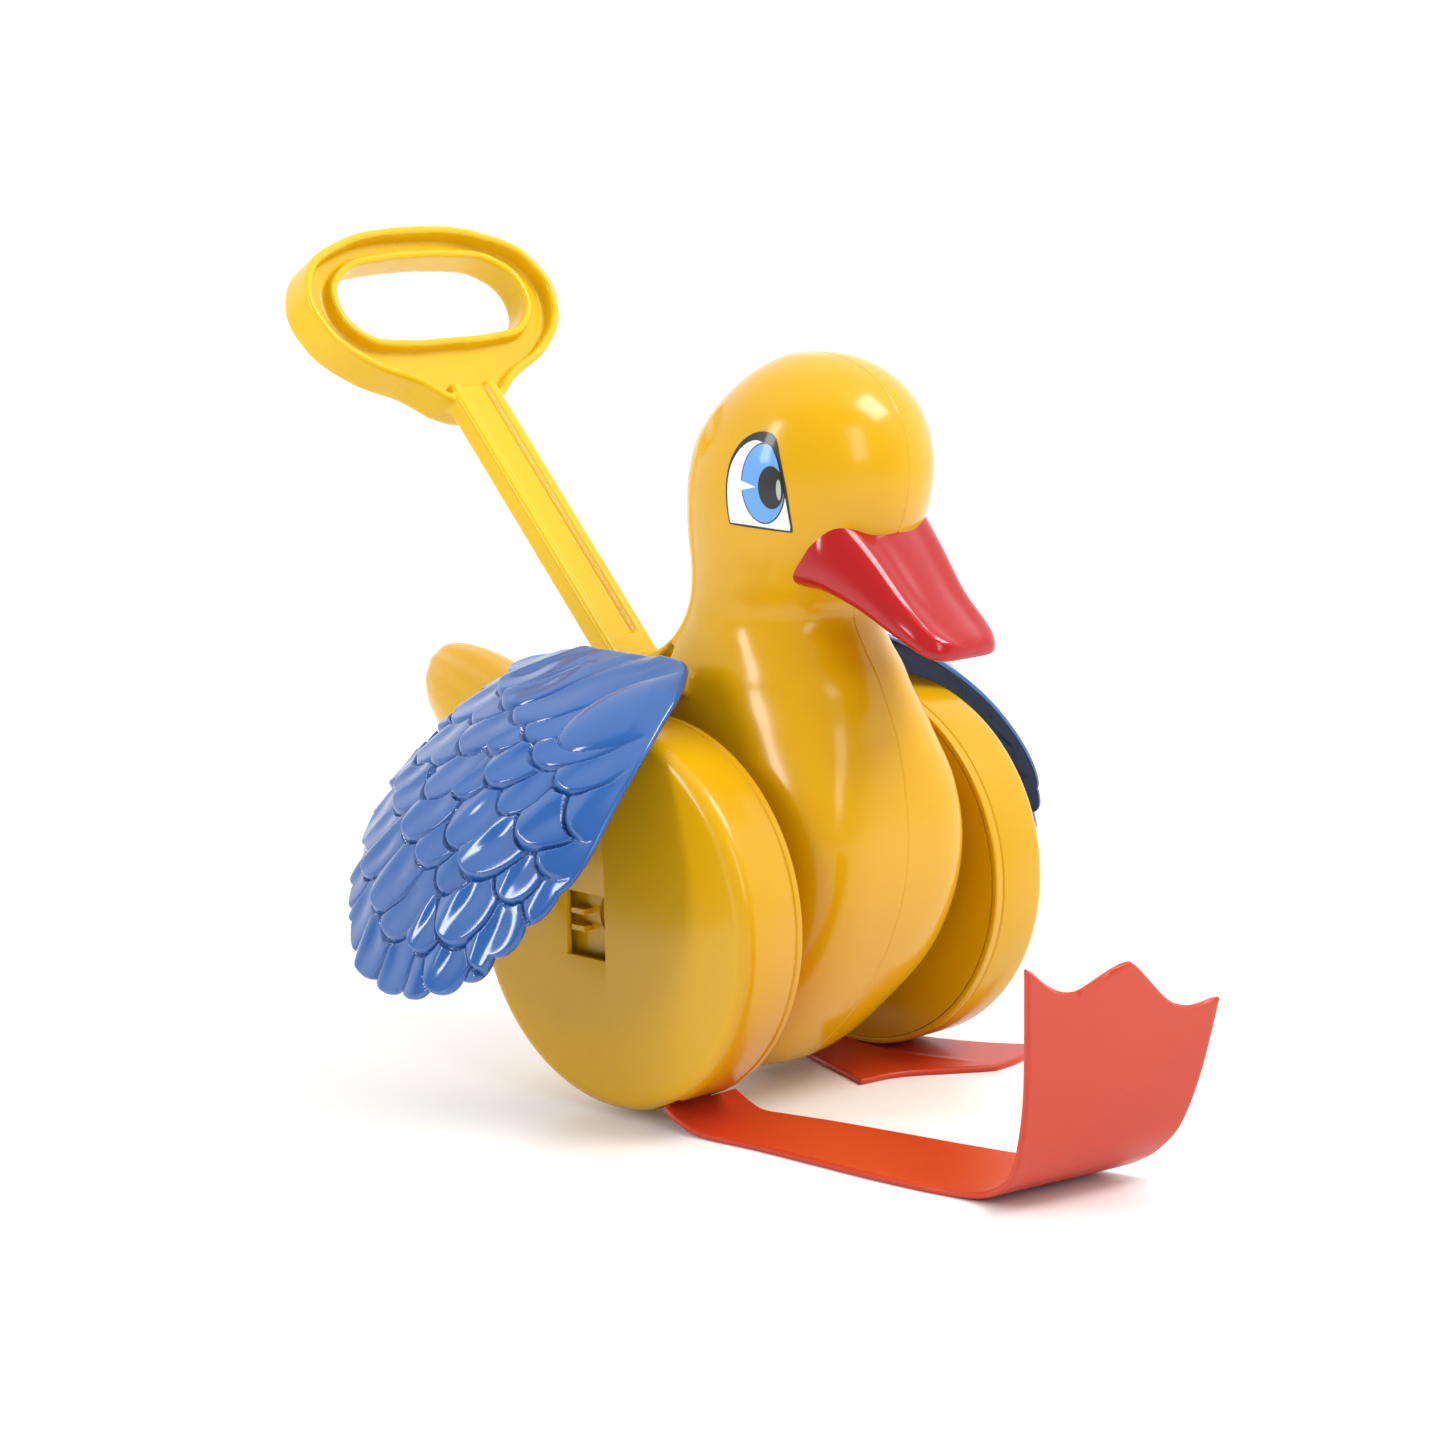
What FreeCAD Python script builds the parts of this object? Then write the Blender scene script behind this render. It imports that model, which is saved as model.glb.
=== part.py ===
import FreeCAD, Part
import math
import os

import Sketcher

# A push-along duck: two drum wheels on one axle, a hollow body between them, flapping wings,
# webbed feet on flexible straps fixed in the wheel rims, and a rigid ring handle.
# +X is the way the duck faces, +Y its left, +Z up. The origin is on the floor, below the middle
# of the object. Millimetres.

os.makedirs("parts", exist_ok=True)
doc = FreeCAD.newDocument("PushAlongDuck")

# ---------------------------------------------------------------- driving dimensions
SIZES = {
    "axle_ahead": -6.3,         # axle, ahead of the origin
    "axle_high": 76.8,          # axle above the floor
    "axle_radius": 4.0,
    "axle_half": 79.5,
    "wheel_radius": 74.0,
    "wheel_inside": 54.0,       # inner face of a wheel from the middle plane
    "wheel_outside": 84.0,      # outer face of a wheel from the middle plane
    "wheel_wall": 2.5,
    "wheel_round": 6.0,         # rounding of the outer rim edge
    "boss_radius": 9.0,
    "clip_face": 76.5,          # inner face of the hub clip from the middle plane
    "window_wide": 21.0,
    "window_high": 25.0,
    "window_along": 11.0,       # window centre from the axle
    "window_drop": 4.3,
    "shell_wall": 2.2,
    "bush_radius": 7.0,
    "bush_flange": 10.0,
    "bush_inside": 40.0,
    "bush_outside": 48.5,
    "running_gap": 0.05,        # radial clearance of a shaft in its hole
    "strap_thick": 2.5,
    "strap_inside": 44.5,
    "strap_outside": 82.5,
    "strap_gap": 0.3,           # between a strap and the rim it lies on
    "anchor_radius": 2.2,
    "bead_radius": 4.0,
    "bead_place": 67.2,         # bead centre from the axle
    "root_right": 18.2,         # degrees ahead of the lowest point of the rim
    "root_left": -149.0,
    "hinge_out": 47.5,          # wing hinge from the middle plane
    "hinge_high": 160.0,
    "hinge_rear": -52.0,
    "hinge_front": 2.0,
    "pin_radius": 1.8,
    "lug_long": 6.0,
    "arm_back": -24.0,
    "arm_wide": 8.0,
    "arm_outside": 73.5,        # outer end of a wing arm from the middle plane
    "finger_inside": 35.6,      # faces of the arm's finger from the middle plane
    "finger_outside": 38.6,
    "finger_low": 110.0,
    "strap_slot": 14.5,
    "wing_radius": 149.0,
    "wing_thick": 2.0,
    "stem_wide": 24.0,
    "stem_deep": 10.0,
    "stem_lean": 42.5,          # degrees back from upright
    "grip_lean": 31.6,
    "grip_deep": 18.0,
    "rim_wide": 4.0,
    "socket_deep": 34.0,
    "lock_radius": 2.5,
    "screw_radius": 1.5,
    "screw_head": 2.8,
    "sticker_thick": 0.4,
}
sheet = doc.addObject("Spreadsheet::Sheet", "Sizes")
for row, (alias, value) in enumerate(SIZES.items(), start=1):
    sheet.set("A%d" % row, alias)
    sheet.set("B%d" % row, str(value))
    sheet.setAlias("B%d" % row, alias)
doc.recompute()


def size(alias):
    return float(sheet.get(alias))


def vec(x, y, z):
    return FreeCAD.Vector(x, y, z)


AHEAD = size("axle_ahead")
HIGH = size("axle_high")
SIDES = {"right": -1, "left": 1}
AXLE_PLACE = vec(AHEAD, 0, HIGH)
nodes = []


# ---------------------------------------------------------------- helpers
def keep(item, label):
    """Name an object as one piece of the toy."""
    item.Label = label
    nodes.append(item)
    return item


def feature(label, shape, place=None):
    """A free-form piece, whose shape is made with Part's own functions."""
    item = doc.addObject("Part::Feature", "Free_" + label)
    item.Shape = shape
    item.Placement = FreeCAD.Placement(place or vec(AHEAD, 0, 0), FreeCAD.Rotation())
    return keep(item, label)


def outwards(side):
    """Rotation that turns a piece's own +Z outwards, away from the middle plane."""
    return FreeCAD.Rotation(vec(1, 0, 0), -90 * SIDES[side])


def new_body(label):
    body = doc.addObject("PartDesign::Body", "Body_" + label)
    body.Label = label
    return body


def sketch_on(body, role, label, raised=None):
    """A sketch on one of the body's own origin planes."""
    plane = [item for item in body.Origin.OriginFeatures if item.Role == role][0]
    sketch = body.newObject("Sketcher::SketchObject", label)
    sketch.AttachmentSupport = (plane, "")
    sketch.MapMode = "FlatFace"
    if raised:
        sketch.setExpression("AttachmentOffset.Base.z", raised)
    return sketch


def add_circle(sketch, radius, across=None, up=None):
    """A circle whose radius and centre are bound to the sheet."""
    number = sketch.addGeometry(Part.Circle(vec(1 if across else 0, 1 if up else 0, 0), vec(0, 0, 1), 5))
    for kind, place in (("DistanceX", across), ("DistanceY", up)):
        if place:
            index = sketch.addConstraint(Sketcher.Constraint(kind, -1, 1, number, 3, 1.0))
            sketch.setExpression("Constraints[%d]" % index, place)
        else:
            other = -2 if kind == "DistanceX" else -1
            sketch.addConstraint(Sketcher.Constraint("PointOnObject", number, 3, other))
    index = sketch.addConstraint(Sketcher.Constraint("Radius", number, 5.0))
    sketch.setExpression("Constraints[%d]" % index, radius)


def add_outline(sketch, corners):
    """A closed outline of straight lines whose corners are bound to the sheet."""
    count = len(corners)
    guess = []
    for across, up in corners:
        guess.append(vec(doc_value(across), doc_value(up), 0))
    first = None
    for n in range(count):
        number = sketch.addGeometry(Part.LineSegment(guess[n], guess[(n + 1) % count]))
        if first is None:
            first = number
    for n in range(count):
        after = first + (n + 1) % count
        sketch.addConstraint(Sketcher.Constraint("Coincident", first + n, 2, after, 1))
    for n, corner in enumerate(corners):
        for kind, place in zip(("DistanceX", "DistanceY"), corner):
            value = doc_value(place)
            if abs(value) < 1e-9:
                other = -2 if kind == "DistanceX" else -1
                sketch.addConstraint(Sketcher.Constraint("PointOnObject", first + n, 1, other))
                continue
            index = sketch.addConstraint(Sketcher.Constraint(kind, -1, 1, first + n, 1, value))
            sketch.setExpression("Constraints[%d]" % index, place)


def doc_value(expression):
    """The present value of an expression on the sheet."""
    value = sheet.evalExpression(expression)
    return float(getattr(value, "Value", value))


def pad(body, sketch, length, label):
    item = body.newObject("PartDesign::Pad", label)
    item.Profile = sketch
    item.setExpression("Length", length)
    return item


def revolve(body, sketch, label):
    item = body.newObject("PartDesign::Revolution", label)
    item.Profile = sketch
    item.ReferenceAxis = (sketch, ["V_Axis"])
    item.Angle = 360
    return item


def cylinder_between(start, end, radius):
    """A plain round bar from one point to another."""
    return Part.makeCylinder(radius, (end - start).Length, start, end - start)


def box_between(low, high):
    return Part.makeBox(high[0] - low[0], high[1] - low[1], high[2] - low[2], vec(*low))


def smooth_loop(points):
    """A closed smooth wire through the points."""
    curve = Part.BSplineCurve()
    curve.interpolate(Points=points, PeriodicFlag=True)
    return Part.Wire(curve.toShape())


# ---------------------------------------------------------------- duck body
# Level sections of the torso, neck and head: height, front, back, half width and power of the
# superellipse (2 is an ellipse, 4 is nearly a rounded box). x is from the axle.
TORSO = [
    (6, 9, -11, 12, 2.0),
    (11, 22, -26, 27, 2.2),
    (20, 34, -38, 36, 2.6),
    (35, 49, -53, 42, 3.0),
    (55, 63, -66, 45, 4.6),
    (78, 73, -72, 45.5, 5.4),
    (100, 77, -75, 45.5, 5.4),
    (120, 76, -79, 45, 4.6),
    (137, 73, -84, 44, 3.3),
    (149, 69, -86, 42.5, 2.9),
    (158, 65, -70, 40.5, 2.6),
    (166, 61, -44, 38.5, 2.4),
    (175, 55, -31, 36.5, 2.2),
    (188, 50, -24, 35, 2.0),
    (202, 60, -22, 37, 2.0),
    (218, 72, -23, 40.5, 2.0),
    (236, 78, -22, 42, 2.0),
    (252, 77.5, -17, 40.5, 2.0),
    (266, 72, -6, 35, 2.0),
    (277, 61, 7, 25, 2.0),
    (284, 46, 20, 12, 2.0),
]
LOOP_POINTS = 20
# Upright sections of the tail: distance behind the axle, middle height, half height, half width.
TAIL = [(60, 112, 30, 32), (95, 118, 25, 29), (130, 121, 21, 26), (160, 130, 23, 22),
        (178, 136, 19, 16), (188, 141, 9, 8)]


def torso_loop(section, grow):
    high, front, back, half_width, power = section
    middle = (front + back) / 2.0
    half_length = (front - back) / 2.0 + grow
    points = []
    for n in range(LOOP_POINTS):
        turn = 2 * math.pi * n / LOOP_POINTS
        along = math.copysign(abs(math.cos(turn)) ** (2.0 / power), math.cos(turn))
        across = math.copysign(abs(math.sin(turn)) ** (2.0 / power), math.sin(turn))
        points.append(vec(middle + half_length * along, (half_width + grow) * across, high))
    return smooth_loop(points)


def tail_loop(section, grow):
    behind, high, half_height, half_width = section
    points = []
    for n in range(LOOP_POINTS):
        turn = 2 * math.pi * n / LOOP_POINTS
        across = (half_width + grow) * math.cos(turn)
        points.append(vec(-behind, across, high + (half_height + grow) * math.sin(turn)))
    return smooth_loop(points)


def duck_skin(grow):
    """The body as one solid, thicker by grow all round than the outer surface."""
    sections = list(TORSO)
    bottom, top = list(sections[0]), list(sections[-1])
    bottom[0] -= grow
    top[0] += grow
    sections[0], sections[-1] = bottom, top
    torso = Part.makeLoft([torso_loop(section, grow) for section in sections], True)
    tail_sections = [list(section) for section in TAIL]
    tail_sections[-1][0] += grow
    tail = Part.makeLoft([tail_loop(section, grow) for section in tail_sections], True)
    return torso.fuse(tail)


stem_way = vec(-math.sin(math.radians(size("stem_lean"))), 0, math.cos(math.radians(size("stem_lean"))))
STEM_FOOT = vec(-70, 0, 156)
STEM_LONG = 139.0


def along_stem(wide, deep, start, end):
    """A square bar about the stem's middle line, from one distance along it to another."""
    bar = Part.makeBox(deep, wide, end - start, vec(-deep / 2, -wide / 2, start))
    bar.rotate(vec(0, 0, 0), vec(0, 1, 0), -size("stem_lean"))
    bar.translate(STEM_FOOT)
    return bar


SCREWS = [(2, 20), (-52, 92), (46, 104)]
LOCK_DEPTH = 16.0


def make_shells():
    outer = duck_skin(0)
    hollow = outer.cut(duck_skin(-size("shell_wall")))
    # socket of the handle stem
    socket = along_stem(size("stem_wide") + 5, size("stem_deep") + 5, -size("socket_deep"), 4).common(outer)
    shell = hollow.fuse(socket)
    shell = shell.cut(along_stem(size("stem_wide") + 0.6, size("stem_deep") + 0.6, -size("socket_deep") - 1, 30))
    lock = STEM_FOOT - stem_way * LOCK_DEPTH
    lock_hole = cylinder_between(vec(lock.x, -25, lock.z), vec(lock.x, 25, lock.z), size("lock_radius"))
    shell = shell.cut(lock_hole)
    # bosses of the screws
    for x, z in SCREWS:
        boss = cylinder_between(vec(x, -60, z), vec(x, 60, z), 5.0).common(outer)
        shell = shell.fuse(boss)
    for x, z in SCREWS:
        hole = cylinder_between(vec(x, -22, z), vec(x, 60, z), size("screw_radius"))
        head = cylinder_between(vec(x, 40, z), vec(x, 60, z), size("screw_head"))
        shell = shell.cut(hole).cut(head)
    # axle bush holes
    shell = shell.cut(cylinder_between(vec(0, -60, HIGH), vec(0, 60, HIGH), size("bush_radius")))
    for sign in SIDES.values():
        # lugs of the wing hinge, and the slot of the wing arm
        for start in (size("hinge_rear"), size("hinge_front") - size("lug_long")):
            out = sign * (size("hinge_out") + 3)
            lug = box_between((start, min(out, sign * 30), size("hinge_high") - 3.5),
                              (start + size("lug_long"), max(out, sign * 30), size("hinge_high") + 3))
            shell = shell.fuse(lug.cut(duck_skin_inside))
        rear = vec(size("hinge_rear") - 1, sign * size("hinge_out"), size("hinge_high"))
        front = vec(size("hinge_front") + 1, sign * size("hinge_out"), size("hinge_high"))
        shell = shell.cut(cylinder_between(rear, front, size("pin_radius")))
        out = sign * (size("hinge_out") + 6)
        slot = box_between((size("arm_back") - 1, min(out, sign * 24), size("finger_low") - 4),
                           (size("arm_back") + size("arm_wide") + 1, max(out, sign * 24), 171))
        shell = shell.cut(slot)
    halves = {}
    for side, sign in SIDES.items():
        block = box_between((-260, min(0, sign * 80), -10), (160, max(0, sign * 80), 320))
        half = shell.common(block)
        halves[side] = max(half.Solids, key=lambda solid: solid.Volume)
    return outer, halves


duck_skin_inside = duck_skin(-size("shell_wall"))
duck_outer, shell_halves = make_shells()
for side in SIDES:
    feature("body_shell_" + side, shell_halves[side])


# ---------------------------------------------------------------- face
# Sections of the beak across its length: ahead of the axle, middle height, half width, half height
BEAK = [(42, 213, 29, 12.5), (60, 211.5, 28.5, 13), (74, 203, 24, 12), (89, 191.5, 20.5, 8.5),
        (101, 183, 18.5, 5.5), (108.5, 180, 12.5, 3.5)]


def beak_loop(section):
    ahead, high, half_width, half_height = section
    points = []
    for n in range(LOOP_POINTS):
        turn = 2 * math.pi * n / LOOP_POINTS
        across = math.copysign(abs(math.cos(turn)) ** 0.7, math.cos(turn))
        up = math.copysign(abs(math.sin(turn)) ** 0.7, math.sin(turn))
        points.append(vec(ahead, half_width * across, high + half_height * up))
    return smooth_loop(points)


beak = Part.makeLoft([beak_loop(section) for section in BEAK], True).cut(duck_outer)
feature("beak", max(beak.Solids, key=lambda solid: solid.Volume))

sticker_skin = duck_skin(size("sticker_thick")).cut(duck_outer)
# Outline of the eye, an arch with a flat foot: ahead of the axle, and height
EYE_ARCH = [(26, 223.5), (25.5, 238), (29.5, 251), (38, 257.5), (47, 252), (51.5, 239), (52, 221.5)]
for side, sign in SIDES.items():
    arch = Part.BSplineCurve()
    arch.interpolate(Points=[vec(x, 0, z) for x, z in EYE_ARCH])
    ends = [vec(x, 0, z) for x, z in (EYE_ARCH[-1], EYE_ARCH[0])]
    outline = Part.Face(Part.Wire([arch.toShape(), Part.LineSegment(*ends).toShape()]))
    prism = outline.extrude(vec(0, sign * 70, 0))
    patch = sticker_skin.common(prism)
    feature("eye_sticker_" + side, max(patch.Solids, key=lambda solid: solid.Volume))


# ---------------------------------------------------------------- handle
# Half outlines of the ring grip and its hole in the grip's own plane: across, and along from the
# stem's end. Both start and end on the middle line.
GRIP_HALF = [(0, -9), (13, -5), (25, 4), (45, 14), (60, 29), (64, 46), (57, 61), (35, 72.5), (0, 76.5)]
HOLE_HALF = [(0, 25), (24, 25.5), (41, 29), (49, 39), (48, 50), (38, 58.5), (18, 62), (0, 62.5)]
GRIP_START = vec(-169, 0, 257)


def grip_slab(half, inset, low, high):
    """Slab from a half outline, drawn in by an inset all round, between two depths."""
    points = half + [(-across, along) for across, along in half[-2:0:-1]]
    count = len(points)
    moved = []
    for n, (across, along) in enumerate(points):
        before, after = points[n - 1], points[(n + 1) % count]
        way = vec(0, after[0] - before[0], after[1] - before[1]).normalize()
        moved.append(vec(low, across - way.z * inset, along + way.y * inset))
    return Part.Face(smooth_loop(moved)).extrude(vec(high - low, 0, 0))


def make_handle():
    half_deep = size("grip_deep") / 2
    rim = size("rim_wide")
    grip = grip_slab(GRIP_HALF, 0, -half_deep, half_deep).cut(grip_slab(HOLE_HALF, 0, -20, 20))
    for low, high in ((1.3, 20), (-20, -1.3)):
        channel = grip_slab(GRIP_HALF, rim, low, high).cut(grip_slab(HOLE_HALF, -rim, -30, 30))
        grip = grip.cut(channel)
    grip.rotate(vec(0, 0, 0), vec(0, 1, 0), -size("grip_lean"))
    grip.translate(GRIP_START)
    wide, deep = size("stem_wide"), size("stem_deep")
    stem = along_stem(wide, deep, 1 - size("socket_deep"), STEM_LONG + 3)
    trough = along_stem(wide - 2.6 * rim, deep + 4, 12, STEM_LONG - 8)
    web = along_stem(wide, deep - 6, 0, STEM_LONG)
    handle = stem.cut(trough.cut(web)).fuse(grip)
    lock = STEM_FOOT - stem_way * LOCK_DEPTH
    handle = handle.cut(cylinder_between(vec(lock.x, -25, lock.z), vec(lock.x, 25, lock.z), size("lock_radius")))
    return max(handle.Solids, key=lambda solid: solid.Volume)


feature("handle", make_handle())

lock_body = new_body("handle_pin")
lock_sketch = sketch_on(lock_body, "XY_Plane", "LockRound")
add_circle(lock_sketch, "Sizes.lock_radius")
pad(lock_body, lock_sketch, "Sizes.stem_wide + 3", "LockBar")
lock_point = STEM_FOOT - stem_way * LOCK_DEPTH
lock_start = vec(lock_point.x + AHEAD, (size("stem_wide") + 3) / 2, lock_point.z)
lock_body.Placement = FreeCAD.Placement(lock_start, FreeCAD.Rotation(vec(1, 0, 0), 90))
keep(lock_body, "handle_pin")


# ---------------------------------------------------------------- axle and wheels
axle = new_body("axle")
axle_sketch = sketch_on(axle, "XY_Plane", "AxleRound")
add_circle(axle_sketch, "Sizes.axle_radius")
axle_bar = pad(axle, axle_sketch, "2 * Sizes.axle_half", "AxleBar")
axle_bar.Midplane = True
axle.Placement = FreeCAD.Placement(AXLE_PLACE, outwards("left"))
keep(axle, "axle")


def place_wheel_piece(item, side):
    item.Placement = FreeCAD.Placement(AXLE_PLACE, outwards(side))


def make_bush(side):
    """Flanged bearing in the side of the shell."""
    body = new_body("axle_bush_" + side)
    sketch = sketch_on(body, "XZ_Plane", "BushHalf")
    bore = "Sizes.axle_radius + Sizes.running_gap"
    add_outline(sketch, [
        (bore, "Sizes.bush_inside"),
        ("Sizes.bush_radius", "Sizes.bush_inside"),
        ("Sizes.bush_radius", "Sizes.bush_outside - 2"),
        ("Sizes.bush_flange", "Sizes.bush_outside - 2"),
        ("Sizes.bush_flange", "Sizes.bush_outside"),
        (bore, "Sizes.bush_outside"),
    ])
    revolve(body, sketch, "BushTurned")
    place_wheel_piece(body, side)
    keep(body, "axle_bush_" + side)


def slot_turn(side):
    """Angle of the strap slot in the wheel piece's own plane."""
    ahead = math.radians(size("root_" + side) + 4.5)
    across, up = math.sin(ahead), -math.cos(ahead)
    return math.degrees(math.atan2(-SIDES[side] * up, across))


def window_corners(side, wider):
    """Corners of the hub window in the wheel piece's own plane, grown all round by wider."""
    middle_x = "%d * Sizes.window_along" % SIDES[side]
    half_wide = "(Sizes.window_wide / 2 + %g)" % wider
    half_high = "(Sizes.window_high / 2 + %g)" % wider
    low, high = "-Sizes.window_drop - " + half_high, "-Sizes.window_drop + " + half_high
    back, front = middle_x + " - " + half_wide, middle_x + " + " + half_wide
    return [(back, low), (front, low), (front, high), (back, high)]


def make_drum(side):
    """Open drum: outer face, rounded rim and hub boss, with a hub window and a strap slot."""
    body = new_body("drum_" + side)
    sketch = sketch_on(body, "XZ_Plane", "DrumHalf")
    rim = "Sizes.wheel_radius"
    inner_rim = "Sizes.wheel_radius - Sizes.wheel_wall"
    inner_face = "Sizes.wheel_outside - Sizes.wheel_wall"
    add_outline(sketch, [
        ("Sizes.axle_radius", "Sizes.wheel_inside + Sizes.wheel_wall"),
        ("Sizes.boss_radius", "Sizes.wheel_inside + Sizes.wheel_wall"),
        ("Sizes.boss_radius", inner_face),
        (inner_rim + " - 3", inner_face),
        (inner_rim, inner_face + " - 3"),
        (inner_rim, "Sizes.wheel_inside"),
        (rim, "Sizes.wheel_inside"),
        (rim, "Sizes.wheel_outside - Sizes.wheel_round"),
        (rim + " - Sizes.wheel_round", "Sizes.wheel_outside"),
        ("Sizes.axle_radius", "Sizes.wheel_outside"),
    ])
    revolve(body, sketch, "DrumTurned")
    doc.recompute()
    before = body.Shape.Volume
    window = sketch_on(body, "XY_Plane", "HubWindow", "Sizes.clip_face")
    add_outline(window, window_corners(side, 0))
    cut = body.newObject("PartDesign::Pocket", "WindowCut")
    cut.Profile = window
    cut.Reversed = True
    cut.setExpression("Length", "Sizes.wheel_outside - Sizes.clip_face + 1")
    body.Tip = cut
    doc.recompute()
    if body.Shape.Volume >= before:
        raise RuntimeError("hub window cut nothing")
    slot = doc.addObject("Part::Box", "SlotTool_" + side)
    slot.setExpression("Length", "3 * Sizes.wheel_wall + 3")
    slot.setExpression("Width", "Sizes.strap_slot")
    slot.setExpression("Height", "Sizes.wheel_outside - Sizes.wheel_inside - 4.4")
    turn = FreeCAD.Rotation(vec(0, 0, 1), slot_turn(side))
    corner = vec(size("wheel_radius") - 8, -size("strap_slot") / 2, size("wheel_inside") + 1.4)
    slot.Placement = FreeCAD.Placement(turn.multVec(corner), turn)
    drum = doc.addObject("Part::Cut", "Slotted_" + side)
    drum.Base = body
    drum.Tool = slot
    place_wheel_piece(drum, side)
    keep(drum, "wheel_drum_" + side)


def make_cover(side):
    """Inner disc that closes the drum."""
    body = new_body("wheel_cover_" + side)
    sketch = sketch_on(body, "XY_Plane", "CoverRound", "Sizes.wheel_inside")
    add_circle(sketch, "Sizes.wheel_radius - Sizes.wheel_wall - 0.1")
    add_circle(sketch, "Sizes.boss_radius + 0.1")
    pad(body, sketch, "1.4", "CoverDisc")
    place_wheel_piece(body, side)
    keep(body, "wheel_cover_" + side)


def make_clip(side):
    """Ribbed clip behind the hub window, gripping the hub boss."""
    body = new_body("hub_clip_" + side)
    sketch = sketch_on(body, "XY_Plane", "ClipPlate", "Sizes.clip_face")
    add_outline(sketch, window_corners(side, 4))
    pad(body, sketch, "1.8", "ClipFlat")
    doc.recompute()
    before = body.Shape.Volume
    hole = sketch_on(body, "XY_Plane", "ClipHole", "Sizes.clip_face")
    add_circle(hole, "Sizes.boss_radius")
    cut = body.newObject("PartDesign::Pocket", "ClipGrip")
    cut.Profile = hole
    cut.Reversed = True
    cut.setExpression("Length", "3")
    doc.recompute()
    if body.Shape.Volume >= before:
        raise RuntimeError("clip hole cut nothing")
    for number, low in enumerate((-3.0, 3.5)):
        rib = sketch_on(body, "XY_Plane", "Rib%d" % number, "Sizes.clip_face + 1.8")
        back = "%d * (Sizes.window_along + 9)" % SIDES[side]
        front = "%d * (Sizes.window_along + 2)" % SIDES[side]
        drop = "-Sizes.window_drop + %g" % low
        add_outline(rib, [(back, drop), (front, drop), (front, drop + " + 2"), (back, drop + " + 2")])
        pad(body, rib, "4.5", "RibPad%d" % number)
    place_wheel_piece(body, side)
    keep(body, "hub_clip_" + side)


CAM_FACE = 26.0
CAM_RADIUS = 46.0
CAM_THICK = 2.0
BUMP_PLACE = 38.0
BUMP_RADIUS = 9.0
BUMP_TURNS = (30, 150, 270)


def make_cam(side):
    """Disc on the axle inside the shell, with domes that push the wing arm outwards."""
    sign = SIDES[side]
    disc = cylinder_between(vec(0, sign * (CAM_FACE - CAM_THICK), HIGH), vec(0, sign * CAM_FACE, HIGH), CAM_RADIUS)
    hub = cylinder_between(vec(0, sign * 14, HIGH), vec(0, sign * CAM_FACE, HIGH), 8.0)
    cam = disc.fuse(hub)
    for degrees in BUMP_TURNS:
        turn = math.radians(degrees)
        centre = vec(BUMP_PLACE * math.sin(turn), sign * CAM_FACE, HIGH + BUMP_PLACE * math.cos(turn))
        dome = Part.makeSphere(BUMP_RADIUS, centre)
        beyond = sign * (CAM_FACE + BUMP_RADIUS + 1)
        keep_box = box_between((-80, min(sign * CAM_FACE, beyond), 0), (80, max(sign * CAM_FACE, beyond), 160))
        cam = cam.fuse(dome.common(keep_box))
    bore = cylinder_between(vec(0, sign * 10, HIGH), vec(0, sign * 50, HIGH), size("axle_radius"))
    feature("cam_disc_" + side, cam.cut(bore))


for side in SIDES:
    make_bush(side)
    make_drum(side)
    make_cover(side)
    make_clip(side)
    make_cam(side)


# ---------------------------------------------------------------- feet
THICK = size("strap_thick")
ROOT_IN = 58.5
ROOT_OUT = 79.0
LIFT_RADIUS = 47.4
LIFT_PLACE = 52.0
LIFT_ANGLE = -30.8
WRAP_RADIUS = size("wheel_radius") + size("strap_gap") + THICK / 2
WRAP_ANGLE = size("root_left") + 9


def around(centre, radius, angle):
    """Point on a circle in the XZ plane, at degrees ahead of straight down."""
    turn = math.radians(angle)
    return vec(centre[0] + radius * math.sin(turn), 0, centre[1] - radius * math.cos(turn))


def strap_line(point, inside, outside):
    """A line across the strap: its inner and outer ends."""
    return (point + vec(0, inside, 0), point + vec(0, outside, 0))


IN, OUT = size("strap_inside"), size("strap_outside")
FLAT = THICK / 2
LIFT_CENTRE = (LIFT_PLACE, LIFT_RADIUS + FLAT)
HUB = (0, HIGH)


def flat_line(inside_x, inside_y, outside_x, outside_y):
    """A line across a part of the foot that lies on the floor."""
    return (vec(inside_x, inside_y, FLAT), vec(outside_x, outside_y, FLAT))


def wrapped_line(angle):
    """A line across the strap where it is wrapped on the rim, widening towards the web."""
    spread = max(0.0, 1 + angle / 85.0)
    return strap_line(around(HUB, WRAP_RADIUS, angle), IN - 17.5 * spread ** 1.5, OUT - 3.5 * spread)


# Lines across each foot's middle surface, from the rim to just beyond the toes. The strap of the
# right foot leaves the rim ahead of its lowest point, and its web stands up. The strap of the left
# foot is wrapped behind the rim and under it, and its web lies flat.
RIGHT_LINES = [strap_line(around(LIFT_CENTRE, LIFT_RADIUS, angle), IN, OUT) for angle in (LIFT_ANGLE, -20, -10)]
RIGHT_LINES += [
    flat_line(53, 41, 53, 82), flat_line(60, 39, 60, 81.5), flat_line(75, 36, 75, 80), flat_line(105, 31, 105, 79.5),
    flat_line(130, 27, 130, 79), flat_line(155, 22, 152, 77.5), flat_line(170, 17, 163, 76),
    (vec(182, 14, 2.0), vec(173, 75, 2.0)), (vec(191, 12, 4.2), vec(181, 75.2, 4.2)),
    (vec(198, 10, 7.5), vec(188, 76.5, 8)), (vec(204, 8, 12), vec(194, 78.2, 13)),
    (vec(208, 6.5, 16.5), vec(198, 80, 18)),
    (vec(211, 5, 21.5), vec(201.5, 82.5, 25)), (vec(214.5, 4, 30), vec(206, 86, 36)),
    (vec(218, 3, 41), vec(211, 90, 50)), (vec(226, 3, 70), vec(226, 107, 99)), (vec(230, 4, 84), vec(230, 112, 113)),
]
LEFT_LINES = [wrapped_line(angle) for angle in range(int(WRAP_ANGLE), -5, 9)]
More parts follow.
